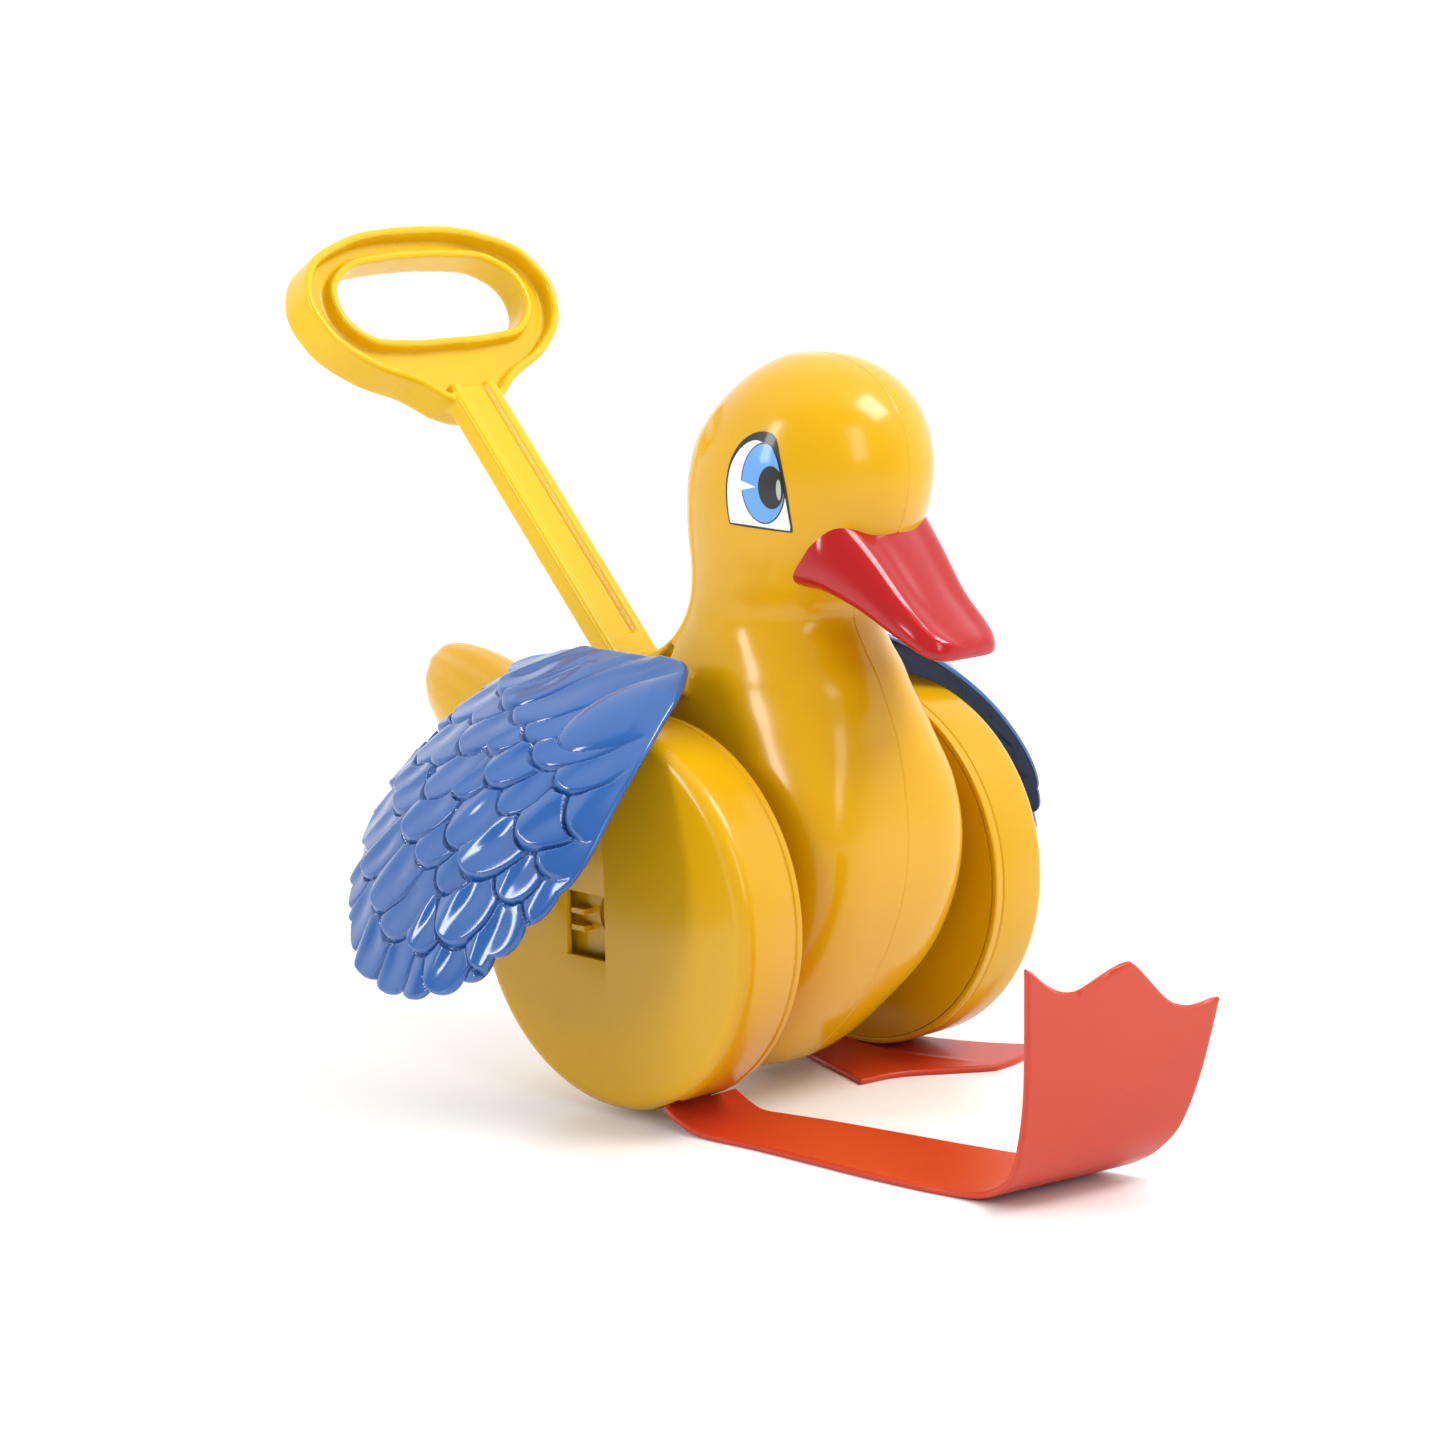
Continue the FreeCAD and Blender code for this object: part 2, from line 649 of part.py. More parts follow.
LEFT_LINES += [
    flat_line(0, 27, 0, 79), flat_line(4, 25.5, 5, 79.2), flat_line(14, 22, 20, 81.5), flat_line(27, 17.5, 44, 92),
    flat_line(41, 12, 74, 114), flat_line(50, 9, 84, 121),
]
RIGHT_TOES = [vec(226, 107, 99), vec(227.5, 55, 92), vec(226, 3, 70)]
LEFT_TOES = [vec(74, 114, FLAT), vec(66, 64, FLAT), vec(41, 12, FLAT)]
SCALLOP_RADIUS = 44.0


def foot_sheet(lines):
    """Solid sheet through the lines across it."""
    middles = [(inside + outside) * 0.5 for inside, outside in lines]
    wires = []
    for n, (inside, outside) in enumerate(lines):
        way = middles[min(n + 1, len(lines) - 1)] - middles[max(n - 1, 0)]
        up = way.cross(outside - inside).normalize() * (THICK / 2)
        wires.append(Part.makePolygon([inside - up, outside - up, outside + up, inside + up, inside - up]))
    return Part.makeLoft(wires, True, True)


def cut_toes(sheet_solid, toes, across, along):
    """Cut the scallops between the toes, square to the web."""
    square = across.cross(along).normalize()
    for first, second in zip(toes, toes[1:]):
        half = (second - first) * 0.5
        beyond = square.cross(half).normalize()
        if beyond.dot(along) < 0:
            beyond = beyond * -1
        middle = first + half + beyond * math.sqrt(SCALLOP_RADIUS ** 2 - half.Length ** 2)
        sheet_solid = sheet_solid.cut(cylinder_between(middle - square * 30, middle + square * 30, SCALLOP_RADIUS))
    return sheet_solid


def make_foot(side, lines, toes):
    """Sheet with an eye round the anchor bar, and a narrow root through the rim."""
    last_in, last_out = lines[-2]
    along = (lines[-1][0] + lines[-1][1] - last_in - last_out).normalize()
    foot = cut_toes(foot_sheet(lines), toes, (last_out - last_in).normalize(), along)
    rim = cylinder_between(vec(0, -60, HIGH), vec(0, 150, HIGH), WRAP_RADIUS - THICK / 2)
    foot = foot.cut(rim)
    eye = around(HUB, size("bead_place"), size("root_" + side))
    start, end = vec(eye.x, ROOT_IN, eye.z), vec(eye.x, ROOT_OUT, eye.z)
    leave = (lines[0][0] + lines[0][1]) * 0.5
    leave.y = 0
    way = leave - eye
    half_thick = way.cross(vec(0, 1, 0)).normalize() * (THICK / 2)
    corners = [eye + half_thick, leave + half_thick, leave - half_thick, eye - half_thick, eye + half_thick]
    root = Part.Face(Part.makePolygon(corners))
    root.translate(vec(0, ROOT_IN, 0))
    root = root.extrude(vec(0, ROOT_OUT - ROOT_IN, 0))
    foot = foot.fuse(root).fuse(cylinder_between(start, end, size("bead_radius")))
    foot = foot.cut(cylinder_between(start, end, size("anchor_radius") + size("running_gap")))
    return max(foot.Solids, key=lambda solid: solid.Volume)


feature("foot_right", make_foot("right", RIGHT_LINES, RIGHT_TOES).mirror(vec(0, 0, 0), vec(0, 1, 0)))
feature("foot_left", make_foot("left", LEFT_LINES, LEFT_TOES))

for side, sign in SIDES.items():
    anchor = new_body("foot_anchor_" + side)
    anchor_sketch = sketch_on(anchor, "XY_Plane", "AnchorRound", "Sizes.wheel_inside + 1.4")
    add_circle(anchor_sketch, "Sizes.anchor_radius")
    pad(anchor, anchor_sketch, "Sizes.wheel_outside - Sizes.wheel_inside - Sizes.wheel_wall - 2", "AnchorBar")
    eye = around(HUB, size("bead_place"), size("root_" + side))
    anchor.Placement = FreeCAD.Placement(vec(eye.x + AHEAD, 0, eye.z), outwards(side))
    keep(anchor, "foot_anchor_" + side)


# ---------------------------------------------------------------- wings
# Outline of a wing, corner by corner from the front of its hinge, round the leading edge, the
# tip and the trailing edge: ahead of the axle, out from the middle plane, and height.
WING_EDGE = [(8, 48, 169.7), (20.3, 57, 166.3), (29, 84, 153), (33, 110, 132), (32, 129, 108), (20, 144, 86), (2, 152, 65),
             (-17, 155, 57), (-38, 154, 53), (-69, 146, 60), (-90, 131, 80), (-104, 107, 103),
             (-88, 86, 138), (-72, 58, 158)]
WING_CENTRE = vec(-20, 8, 33)
WING_FACE = vec(-0.136, 0.80, 0.58)


def make_wing():
    """Spherical shell cut to the wing's outline, for the duck's left side."""
    outer = Part.makeSphere(size("wing_radius"), WING_CENTRE)
    inner = Part.makeSphere(size("wing_radius") - size("wing_thick"), WING_CENTRE)
    shell = outer.cut(inner)
    face_way = vec(WING_FACE.x, WING_FACE.y, WING_FACE.z).normalize()
    flat = []
    for place in WING_EDGE:
        point = vec(*place) - WING_CENTRE
        flat.append(WING_CENTRE + point - face_way * point.dot(face_way))
    curve = Part.BSplineCurve()
    curve.interpolate(Points=flat)
    outline = Part.Wire([curve.toShape(), Part.LineSegment(flat[-1], flat[0]).toShape()])
    prism = Part.Face(outline).extrude(face_way * 220)
    wing = shell.common(prism)
    return max(wing.Solids, key=lambda solid: solid.Volume)


WING_MIDDLE = size("wing_radius") - size("wing_thick") / 2


def wing_height(out):
    """Height of the middle of the wing's wall above a place out from the middle plane."""
    return WING_CENTRE.z + math.sqrt(WING_MIDDLE ** 2 - (out - WING_CENTRE.y) ** 2)


left_wing = make_wing()
for side, sign in SIDES.items():
    wing = left_wing.copy() if sign > 0 else left_wing.mirror(vec(0, 0, 0), vec(0, 1, 0))
    feature("wing_" + side, wing)

    # arm: barrel on the pin, tongue welded under the wing, and a finger down to the cam disc
    arm = new_body("wing_arm_" + side)
    arm_sketch = sketch_on(arm, "YZ_Plane", "ArmProfile")
    far = "%d * " % sign
    high = "Sizes.hinge_high"
    corners = [
        (far + "Sizes.arm_outside", high + " + 0.5"),
        (far + "Sizes.arm_outside", "%.3f" % wing_height(size("arm_outside"))),
        (far + "(Sizes.arm_outside - 6)", "%.3f" % wing_height(size("arm_outside") - 6)),
        (far + "(Sizes.arm_outside - 12)", "%.3f" % wing_height(size("arm_outside") - 12)),
        (far + "(Sizes.hinge_out + 9)", high + " + 4.4"),
        (far + "(Sizes.hinge_out - 2)", high + " + 4"),
        (far + "Sizes.finger_inside", high + " + 3"),
        (far + "Sizes.finger_inside", "Sizes.finger_low"),
        (far + "Sizes.finger_outside", "Sizes.finger_low"),
        (far + "Sizes.finger_outside", high + " - 4"),
        (far + "(Sizes.hinge_out - 2)", high + " - 4"),
        (far + "(Sizes.hinge_out + 3)", high + " - 3.4"),
    ]
    add_outline(arm_sketch, corners)
    add_circle(arm_sketch, "Sizes.pin_radius + Sizes.running_gap", far + "Sizes.hinge_out", high)
    pad(arm, arm_sketch, "Sizes.arm_wide", "ArmPlate")
    arm.Placement = FreeCAD.Placement(vec(size("arm_back") + AHEAD, 0, 0), FreeCAD.Rotation())
    keep(arm, "wing_arm_" + side)

    pin = new_body("wing_pin_" + side)
    pin_sketch = sketch_on(pin, "YZ_Plane", "PinRound")
    add_circle(pin_sketch, "Sizes.pin_radius")
    pad(pin, pin_sketch, "Sizes.hinge_front - Sizes.hinge_rear", "PinBar")
    pin_place = vec(size("hinge_rear") + AHEAD, sign * size("hinge_out"), size("hinge_high"))
    pin.Placement = FreeCAD.Placement(pin_place, FreeCAD.Rotation())
    keep(pin, "wing_pin_" + side)


# ---------------------------------------------------------------- screws
def make_screw(x, z):
    shank = cylinder_between(vec(x, -21, z), vec(x, 40, z), size("screw_radius"))
    head = cylinder_between(vec(x, 40, z), vec(x, 42.2, z), size("screw_head"))
    return shank.fuse(head)


feature("shell_screws", Part.makeCompound([make_screw(x, z) for x, z in SCREWS]))


# ---------------------------------------------------------------- check and write
doc.recompute()
for item in doc.Objects:
    if "Invalid" in item.State or "Error" in item.State:
        raise RuntimeError("failed object: " + item.Label)
whole = FreeCAD.BoundBox()
for item in nodes:
    if item.Shape.isNull() or not item.Shape.isValid():
        raise RuntimeError("bad shape: " + item.Label)
    whole.add(item.Shape.BoundBox)
for item in nodes:
    item.Shape.exportStep(os.path.join("parts", item.Label + ".step"))
print(len(nodes), "nodes;", "box", whole)
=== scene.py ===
import math

import bmesh
import bpy
import numpy as np
from mathutils import Matrix, Vector
from mathutils.bvhtree import BVHTree


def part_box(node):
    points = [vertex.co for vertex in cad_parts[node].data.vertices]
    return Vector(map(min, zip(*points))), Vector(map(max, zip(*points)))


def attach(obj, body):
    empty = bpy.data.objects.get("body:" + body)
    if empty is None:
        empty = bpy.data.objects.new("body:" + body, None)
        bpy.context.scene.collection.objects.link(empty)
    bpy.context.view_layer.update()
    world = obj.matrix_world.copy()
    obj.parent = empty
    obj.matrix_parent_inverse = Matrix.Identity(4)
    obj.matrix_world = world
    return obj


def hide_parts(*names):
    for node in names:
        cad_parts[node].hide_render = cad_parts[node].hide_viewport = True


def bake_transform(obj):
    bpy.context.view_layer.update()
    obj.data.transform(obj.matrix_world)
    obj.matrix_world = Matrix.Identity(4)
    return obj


# The looks of a push-along duck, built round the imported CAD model. Shapes are worked out in
# millimetres, with x from the axle, y from the middle plane and z from the floor.

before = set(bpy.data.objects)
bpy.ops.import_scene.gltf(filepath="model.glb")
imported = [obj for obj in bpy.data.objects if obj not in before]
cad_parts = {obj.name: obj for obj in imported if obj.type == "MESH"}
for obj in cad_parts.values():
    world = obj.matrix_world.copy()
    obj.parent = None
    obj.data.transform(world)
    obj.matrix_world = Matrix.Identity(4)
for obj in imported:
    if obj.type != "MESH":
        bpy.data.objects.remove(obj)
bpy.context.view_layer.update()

MM = 0.001
SIDES = {"right": -1, "left": 1}
AXLE_LOW, AXLE_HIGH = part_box("axle")
AXLE = (AXLE_LOW + AXLE_HIGH) / 2
HIGH = AXLE.z / MM
DRUM_LOW, DRUM_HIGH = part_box("wheel_drum_left")
RADIUS = (DRUM_HIGH.z - DRUM_LOW.z) / 2 / MM
INSIDE = DRUM_LOW.y / MM
OUTSIDE = DRUM_HIGH.y / MM
AXLE_END = AXLE_HIGH.y / MM


# ---------------------------------------------------------------- mesh helpers
def to_frame(points):
    """Points in toy millimetres as points in the frame, in metres."""
    points = np.asarray(points, float).reshape(-1, 3) * MM
    return points + np.array([AXLE.x, 0, 0])


def make_object(name, points, faces, smooth=True):
    mesh = bpy.data.meshes.new(name)
    mesh.from_pydata([tuple(p) for p in to_frame(points)], [], [tuple(int(i) for i in f) for f in faces])
    bm = bmesh.new()
    bm.from_mesh(mesh)
    bmesh.ops.recalc_face_normals(bm, faces=bm.faces)
    bm.to_mesh(mesh)
    bm.free()
    for polygon in mesh.polygons:
        polygon.use_smooth = smooth
    obj = bpy.data.objects.new(name, mesh)
    bpy.context.scene.collection.objects.link(obj)
    return obj


def hermite(knots, values, at):
    """Smooth curve through the values at the knots, read at other places."""
    knots = np.asarray(knots, float)
    values = np.asarray(values, float).reshape(len(knots), -1)
    at = np.clip(np.asarray(at, float), knots[0], knots[-1])
    slopes = np.empty_like(values)
    steps = np.diff(values, axis=0) / np.diff(knots)[:, None]
    slopes[0], slopes[-1] = steps[0], steps[-1]
    before, after = np.diff(knots)[:-1, None], np.diff(knots)[1:, None]
    slopes[1:-1] = (steps[:-1] * after + steps[1:] * before) / (before + after)
    n = np.clip(np.searchsorted(knots, at, side="right") - 1, 0, len(knots) - 2)
    width = (knots[n + 1] - knots[n])[:, None]
    t = ((at - knots[n])[:, None]) / width
    return ((2 * t ** 3 - 3 * t ** 2 + 1) * values[n] + (t ** 3 - 2 * t ** 2 + t) * width * slopes[n]
            + (3 * t ** 2 - 2 * t ** 3) * values[n + 1] + (t ** 3 - t ** 2) * width * slopes[n + 1])


def rings_to_faces(rings, around):
    """Quads between rings of points, with a fan at each end round its own middle point."""
    faces = []
    for r in range(rings - 1):
        for n in range(around):
            after = (n + 1) % around
            faces.append((r * around + n, r * around + after, (r + 1) * around + after, (r + 1) * around + n))
    last = rings * around
    for n in range(around):
        after = (n + 1) % around
        faces.append((n, last, after))
        faces.append(((rings - 1) * around + n, (rings - 1) * around + after, last + 1))
    return faces


def loft(name, rings):
    """Closed solid through rings of points, with an end point in the middle of each end."""
    rings = np.asarray(rings, float)
    ends = [rings[0].mean(0), rings[-1].mean(0)]
    points = np.concatenate([rings.reshape(-1, 3), ends])
    return make_object(name, points, rings_to_faces(len(rings), rings.shape[1]))


def weld(obj):
    """Join points that lie together, and drop the empty faces this leaves."""
    bm = bmesh.new()
    bm.from_mesh(obj.data)
    bmesh.ops.remove_doubles(bm, verts=bm.verts, dist=1e-6)
    bmesh.ops.dissolve_degenerate(bm, edges=bm.edges, dist=1e-7)
    bmesh.ops.recalc_face_normals(bm, faces=bm.faces)
    bm.to_mesh(obj.data)
    bm.free()
    return obj


def apply_modifiers(obj):
    """Bake an object's modifiers into its mesh."""
    bpy.context.view_layer.update()
    graph = bpy.context.evaluated_depsgraph_get()
    mesh = bpy.data.meshes.new_from_object(obj.evaluated_get(graph))
    obj.modifiers.clear()
    old = obj.data
    obj.data = mesh
    bpy.data.meshes.remove(old)
    for polygon in mesh.polygons:
        polygon.use_smooth = True
    return obj


def cut(obj, tool):
    """Take the tool's solid away from obj."""
    modifier = obj.modifiers.new("cut", "BOOLEAN")
    modifier.operation = "DIFFERENCE"
    modifier.solver = "EXACT"
    modifier.object = tool
    apply_modifiers(obj)
    bpy.data.objects.remove(tool)
    return obj


def merge(target, *others):
    """Put the meshes of the others into the target's."""
    bm = bmesh.new()
    bm.from_mesh(target.data)
    for other in others:
        bm.from_mesh(other.data)
    bm.to_mesh(target.data)
    bm.free()
    for other in others:
        bpy.data.objects.remove(other)
    for polygon in target.data.polygons:
        polygon.use_smooth = True
    return target


def fuse(obj, voxel, rounds):
    """Fuse a piece's overlapping solids into one skin and soften its inner corners."""
    remesh = obj.modifiers.new("fuse", "REMESH")
    remesh.mode = "VOXEL"
    remesh.voxel_size = voxel * MM
    soften = obj.modifiers.new("soften", "SMOOTH")
    soften.factor = 0.5
    soften.iterations = rounds
    return apply_modifiers(obj)


def block(name, low, high, place=None):
    """Box between two corners, optionally moved by a matrix in toy millimetres."""
    corners = np.array([(x, y, z) for x in (low[0], high[0]) for y in (low[1], high[1]) for z in (low[2], high[2])])
    if place is not None:
        corners = np.array([tuple(place @ Vector(c)) for c in corners])
    faces = [(0, 1, 3, 2), (4, 6, 7, 5), (0, 4, 5, 1), (2, 3, 7, 6), (0, 2, 6, 4), (1, 5, 7, 3)]
    return make_object(name, corners, faces, smooth=False)


def shade_by_angle(obj, degrees):
    """Smooth shading with sharp edges where faces meet at more than an angle."""
    bm = bmesh.new()
    bm.from_mesh(obj.data)
    for edge in bm.edges:
        edge.smooth = len(edge.link_faces) == 2 and edge.calc_face_angle(0) < math.radians(degrees)
    for face in bm.faces:
        face.smooth = True
    bm.to_mesh(obj.data)
    bm.free()


# ---------------------------------------------------------------- materials
def moulded(name, colour, shade, roughness, coat=0.12, grain=900.0, bump=0.02, blotch=9.0, gloss=0.32):
    """Moulded plastic: faint flow marks in the colour, and a fine skin that breaks up the gloss."""
    material = bpy.data.materials.new(name)
    material.use_nodes = True
    nodes, links = material.node_tree.nodes, material.node_tree.links
    shader = nodes["Principled BSDF"]
    where = nodes.new("ShaderNodeTexCoord")
    flow = nodes.new("ShaderNodeTexNoise")
    flow.inputs["Scale"].default_value = blotch
    flow.inputs["Detail"].default_value = 4.0
    links.new(where.outputs["Object"], flow.inputs["Vector"])
    mix = nodes.new("ShaderNodeMix")
    mix.data_type = "RGBA"
    mix.inputs["A"].default_value = (*colour, 1)
    mix.inputs["B"].default_value = (*shade, 1)
    links.new(flow.outputs["Fac"], mix.inputs["Factor"])
    links.new(mix.outputs["Result"], shader.inputs["Base Color"])
    skin = nodes.new("ShaderNodeTexNoise")
    skin.inputs["Scale"].default_value = grain
    skin.inputs["Detail"].default_value = 2.0
    links.new(where.outputs["Object"], skin.inputs["Vector"])
    spread = nodes.new("ShaderNodeMapRange")
    spread.inputs["To Min"].default_value = roughness * 0.8
    spread.inputs["To Max"].default_value = roughness * 1.25
    links.new(flow.outputs["Fac"], spread.inputs["Value"])
    links.new(spread.outputs["Result"], shader.inputs["Roughness"])
    relief = nodes.new("ShaderNodeBump")
    relief.inputs["Strength"].default_value = bump
    relief.inputs["Distance"].default_value = 0.0002
    links.new(skin.outputs["Fac"], relief.inputs["Height"])
    links.new(relief.outputs["Normal"], shader.inputs["Normal"])
    shader.inputs["Specular IOR Level"].default_value = gloss
    shader.inputs["Coat Weight"].default_value = coat
    shader.inputs["Coat Roughness"].default_value = 0.08
    return material


def wire_steel(name):
    material = moulded(name, (0.62, 0.62, 0.64), (0.5, 0.5, 0.52), 0.28, coat=0.0, grain=1500.0, bump=0.1)
    material.node_tree.nodes["Principled BSDF"].inputs["Metallic"].default_value = 1.0
    return material


YELLOW = moulded("yellow_body", (0.69, 0.378, 0.001), (0.63, 0.335, 0.001), 0.20)
WHEEL_YELLOW = moulded("yellow_wheel", (0.66, 0.362, 0.001), (0.60, 0.320, 0.001), 0.24)
HANDLE_YELLOW = moulded("yellow_handle", (0.78, 0.50, 0.003), (0.72, 0.44, 0.003), 0.26)
RED = moulded("red_beak", (0.44, 0.009, 0.010), (0.36, 0.006, 0.008), 0.16, coat=0.25)
FOOT_RED = moulded("red_orange_foot", (0.55, 0.042, 0.010), (0.48, 0.033, 0.008), 0.34, coat=0.05)
BLUE = moulded("blue_wing", (0.019, 0.108, 0.36), (0.012, 0.078, 0.28), 0.16, coat=0.4, gloss=0.5)
NATURAL = moulded("natural_bush", (0.72, 0.71, 0.66), (0.66, 0.65, 0.60), 0.5, coat=0.0)
STEEL = wire_steel("bright_wire")
# darker copy of the wing blue for the wing's inner side: painted shade, as the whole wing is one blue plastic
BLUE_INSIDE_PAINTED_SHADE = moulded("blue_wing_inside_painted_shade", (0.008, 0.040, 0.150), (0.005, 0.026, 0.100), 0.5, coat=0.0, gloss=0.15)
EYE_BLACK = moulded("eye_black", (0.008, 0.008, 0.009), (0.012, 0.012, 0.013), 0.35, coat=0.4, bump=0.05)
EYE_WHITE = moulded("eye_white", (0.80, 0.82, 0.80), (0.76, 0.78, 0.76), 0.35, coat=0.4, bump=0.05)
EYE_BLUE = moulded("eye_blue", (0.13, 0.36, 0.78), (0.11, 0.31, 0.70), 0.35, coat=0.4, bump=0.05)
# pale crescent on the pupil: a painted highlight
EYE_GLINT = moulded("eye_glint", (0.42, 0.47, 0.40), (0.38, 0.43, 0.37), 0.35, coat=0.4, bump=0.05)


def paint(obj, material):
    obj.data.materials.clear()
    obj.data.materials.append(material)
    return obj


# ---------------------------------------------------------------- duck body
# Level sections: height, front, back, half width and power of the superellipse.
TORSO = [
    (4.6, 1, -3, 1, 2.0), (6, 9, -11, 12, 2.0), (11, 22, -26, 27, 2.2), (20, 34, -38, 36, 2.6),
    (35, 49, -53, 42, 3.0), (55, 63, -66, 45, 4.6), (78, 73, -72, 45.5, 5.4), (100, 77, -75, 45.5, 5.4),
    (120, 76, -79, 45, 4.6), (137, 73, -84, 44, 3.3), (149, 69, -86, 42.5, 2.9), (158, 65, -70, 40.5, 2.6),
    (166, 61, -44, 38.5, 2.4), (175, 55, -31, 36.5, 2.2), (188, 50, -24, 35, 2.0), (202, 60, -22, 37, 2.0),
    (218, 72, -23, 40.5, 2.0), (236, 78, -22, 42, 2.0), (252, 77.5, -17, 40.5, 2.0), (266, 72, -6, 35, 2.0),
    (277, 61, 7, 25, 2.0), (283.6, 46, 20, 12, 2.0), (285, 34, 31, 1.2, 2.0),
]
# Upright sections of the tail: distance behind the axle, middle height, half height, half width.
TAIL = [(50, 112, 30, 33), (75, 114.5, 28, 31), (95, 117.5, 25.5, 29.5), (130, 122, 22.5, 27), (160, 130, 22.5, 22.5),
        (178, 136, 18, 16), (186, 140, 11, 9.5), (189.2, 142, 3, 3)]
FLUTES = (28, 62, 118, 152)
FLUTE_WIDE = 9.0
STEM_FOOT = (-70, 156)
STEM_LEAN = math.radians(42.5)


ARM_SLOT_IN, ARM_SLOT_OUT = 24.0, 70.0
ARM_SLOT_LOW, ARM_SLOT_HIGH = 103.0, 172.0
CAM_ROOM, CAM_ROOM_IN, CAM_ROOM_OUT = 50.0, 11.0, 38.0
DUCK_VOXEL, DUCK_SOFTENING = 1.25, 7
SEAM_HALF, SEAM_DEEP = 0.7, 0.38


def superellipse(front, back, half_width, power, turns):
    along = np.sign(np.cos(turns)) * np.abs(np.cos(turns)) ** (2.0 / power)
    across = np.sign(np.sin(turns)) * np.abs(np.sin(turns)) ** (2.0 / power)
    return (front + back) / 2 + (front - back) / 2 * along, half_width * across


def build_torso():
    turns = np.linspace(0, 2 * np.pi, 112, endpoint=False)
    order = np.arange(len(TORSO))
    levels = hermite(order, TORSO, np.linspace(0, len(TORSO) - 1, 150))
    rings = []
    for high, front, back, half_width, power in levels:
        x, y = superellipse(front, back, max(half_width, 0.4), power, turns)
        rings.append(np.stack([x, y, np.full_like(x, high)], 1))
    return loft("duck", rings)


def build_tail():
    turns = np.linspace(0, 2 * np.pi, 160, endpoint=False)
    order = np.arange(len(TAIL))
    rings = []
    for share, (behind, high, half_height, half_width) in zip(
            np.linspace(0, 1, 70), hermite(order, TAIL, np.linspace(0, len(TAIL) - 1, 70))):
        fade = np.clip((share - 0.35) / 0.2, 0, 1) * np.clip((1.0 - share) / 0.12, 0, 1)
        scale = np.ones_like(turns)
        for flute in FLUTES:
            off = (np.degrees(turns) - flute + 180) % 360 - 180
            scale -= 0.075 * fade * np.exp(-(off / FLUTE_WIDE) ** 2)
        y = half_width * np.cos(turns) * scale
        z = high + half_height * np.sin(turns) * scale
        rings.append(np.stack([np.full_like(y, -behind), y, z], 1))
    return loft("tail", rings)


def stem_matrix():
    """Stem's own axes: z along the stem, y across, x through its thickness."""
    return Matrix.Translation((STEM_FOOT[0], 0, STEM_FOOT[1])) @ Matrix.Rotation(-STEM_LEAN, 4, "Y")


def build_duck():
    duck = build_torso()
    arm_low, arm_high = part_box("wing_arm_left")
    x_low, x_high = ((v - AXLE.x) / MM for v in (arm_low.x, arm_high.x))
    for sign in SIDES.values():
        edges = sorted((sign * ARM_SLOT_IN, sign * ARM_SLOT_OUT))
        cut(duck, block("slot", (x_low - 1.2, edges[0], ARM_SLOT_LOW), (x_high + 1.2, edges[1], ARM_SLOT_HIGH)))
        # room inside for the cam disc to turn
        turns = np.linspace(0, 2 * np.pi, 96, endpoint=False)
        rings = [[(CAM_ROOM * math.cos(t), sign * out, HIGH + CAM_ROOM * math.sin(t)) for t in turns]
                 for out in (CAM_ROOM_IN, CAM_ROOM_OUT)]
        cut(duck, loft("cam_room", rings))
    parts = [build_tail()]
    pin_low, pin_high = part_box("wing_pin_left")
    hinge = (pin_low + pin_high) / 2 / MM
    rear, front = (pin_low.x - AXLE.x) / MM, (pin_high.x - AXLE.x) / MM
    for sign in SIDES.values():
        for start in (rear, front - 6):
            edges = sorted((sign * 30, sign * (hinge.y + 3)))
            parts.append(block("lug", (start, edges[0], hinge.z - 3.4), (start + 6, edges[1], hinge.z + 3.2)))
    parts.append(block("collar", (-7, -14, -22), (7, 14, 1.0), stem_matrix()))
    merge(duck, *parts)
    fuse(duck, DUCK_VOXEL, DUCK_SOFTENING)
    # parting line of the two half shells
    bm = bmesh.new()
    bm.from_mesh(duck.data)
    for y in (-SEAM_HALF, SEAM_HALF, 0.0):
        geometry = bm.verts[:] + bm.edges[:] + bm.faces[:]
        bmesh.ops.bisect_plane(bm, geom=geometry, plane_co=(0, y * MM, 0), plane_no=(0, 1, 0))
    bm.normal_update()
    for vertex in bm.verts:
        if abs(vertex.co.y) < 1e-6:
            vertex.co -= vertex.normal * SEAM_DEEP * MM
    bm.to_mesh(duck.data)
    bm.free()
    for polygon in duck.data.polygons:
        polygon.use_smooth = True
    paint(duck, YELLOW)
    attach(duck, "body")
    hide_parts("body_shell_right", "body_shell_left")
    return duck


# ---------------------------------------------------------------- beak
# Sections across the beak: ahead of the axle, middle height, half width, half height.
BEAK = [(40, 215, 29, 15.4), (50, 215.2, 29.6, 16.4), (60, 214, 29.2, 16.4), (74, 204.6, 25, 13.0),
        (89, 191.6, 21, 8.6), (100, 184, 19.4, 6.0), (105.5, 181, 17, 4.7), (108.2, 179.8, 13, 3.5), (109.2, 179.3, 7, 1.8)]
BEAK_CORNER = 0.34


def build_beak():
    turns = np.linspace(0, 2 * np.pi, 160, endpoint=False)
    order = np.arange(len(BEAK))
    rings = []
    for ahead, high, half_width, half_height in hermite(order, BEAK, np.linspace(0, len(BEAK) - 1, 90)):
        across = np.sign(np.cos(turns)) * np.abs(np.cos(turns)) ** BEAK_CORNER
        up = np.sign(np.sin(turns)) * np.abs(np.sin(turns)) ** BEAK_CORNER
        taper = 1 - 0.12 * np.clip(up, 0, 1)
        crest = 1.2 * np.exp(-(across / 0.22) ** 2) * np.clip(up, 0, 1)
        dent = 0.9 * np.exp(-((np.abs(across) - 0.55) / 0.2) ** 2) * np.clip(up, 0, 1)
        y = half_width * across * taper
        z = high + half_height * up + (crest - dent) * min(1.0, half_height / 8)
        rings.append(np.stack([np.full_like(y, ahead), y, z], 1))
    beak = paint(loft("duck_beak", rings), RED)
    shade_by_angle(beak, 28)
    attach(beak, "body")
    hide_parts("beak")


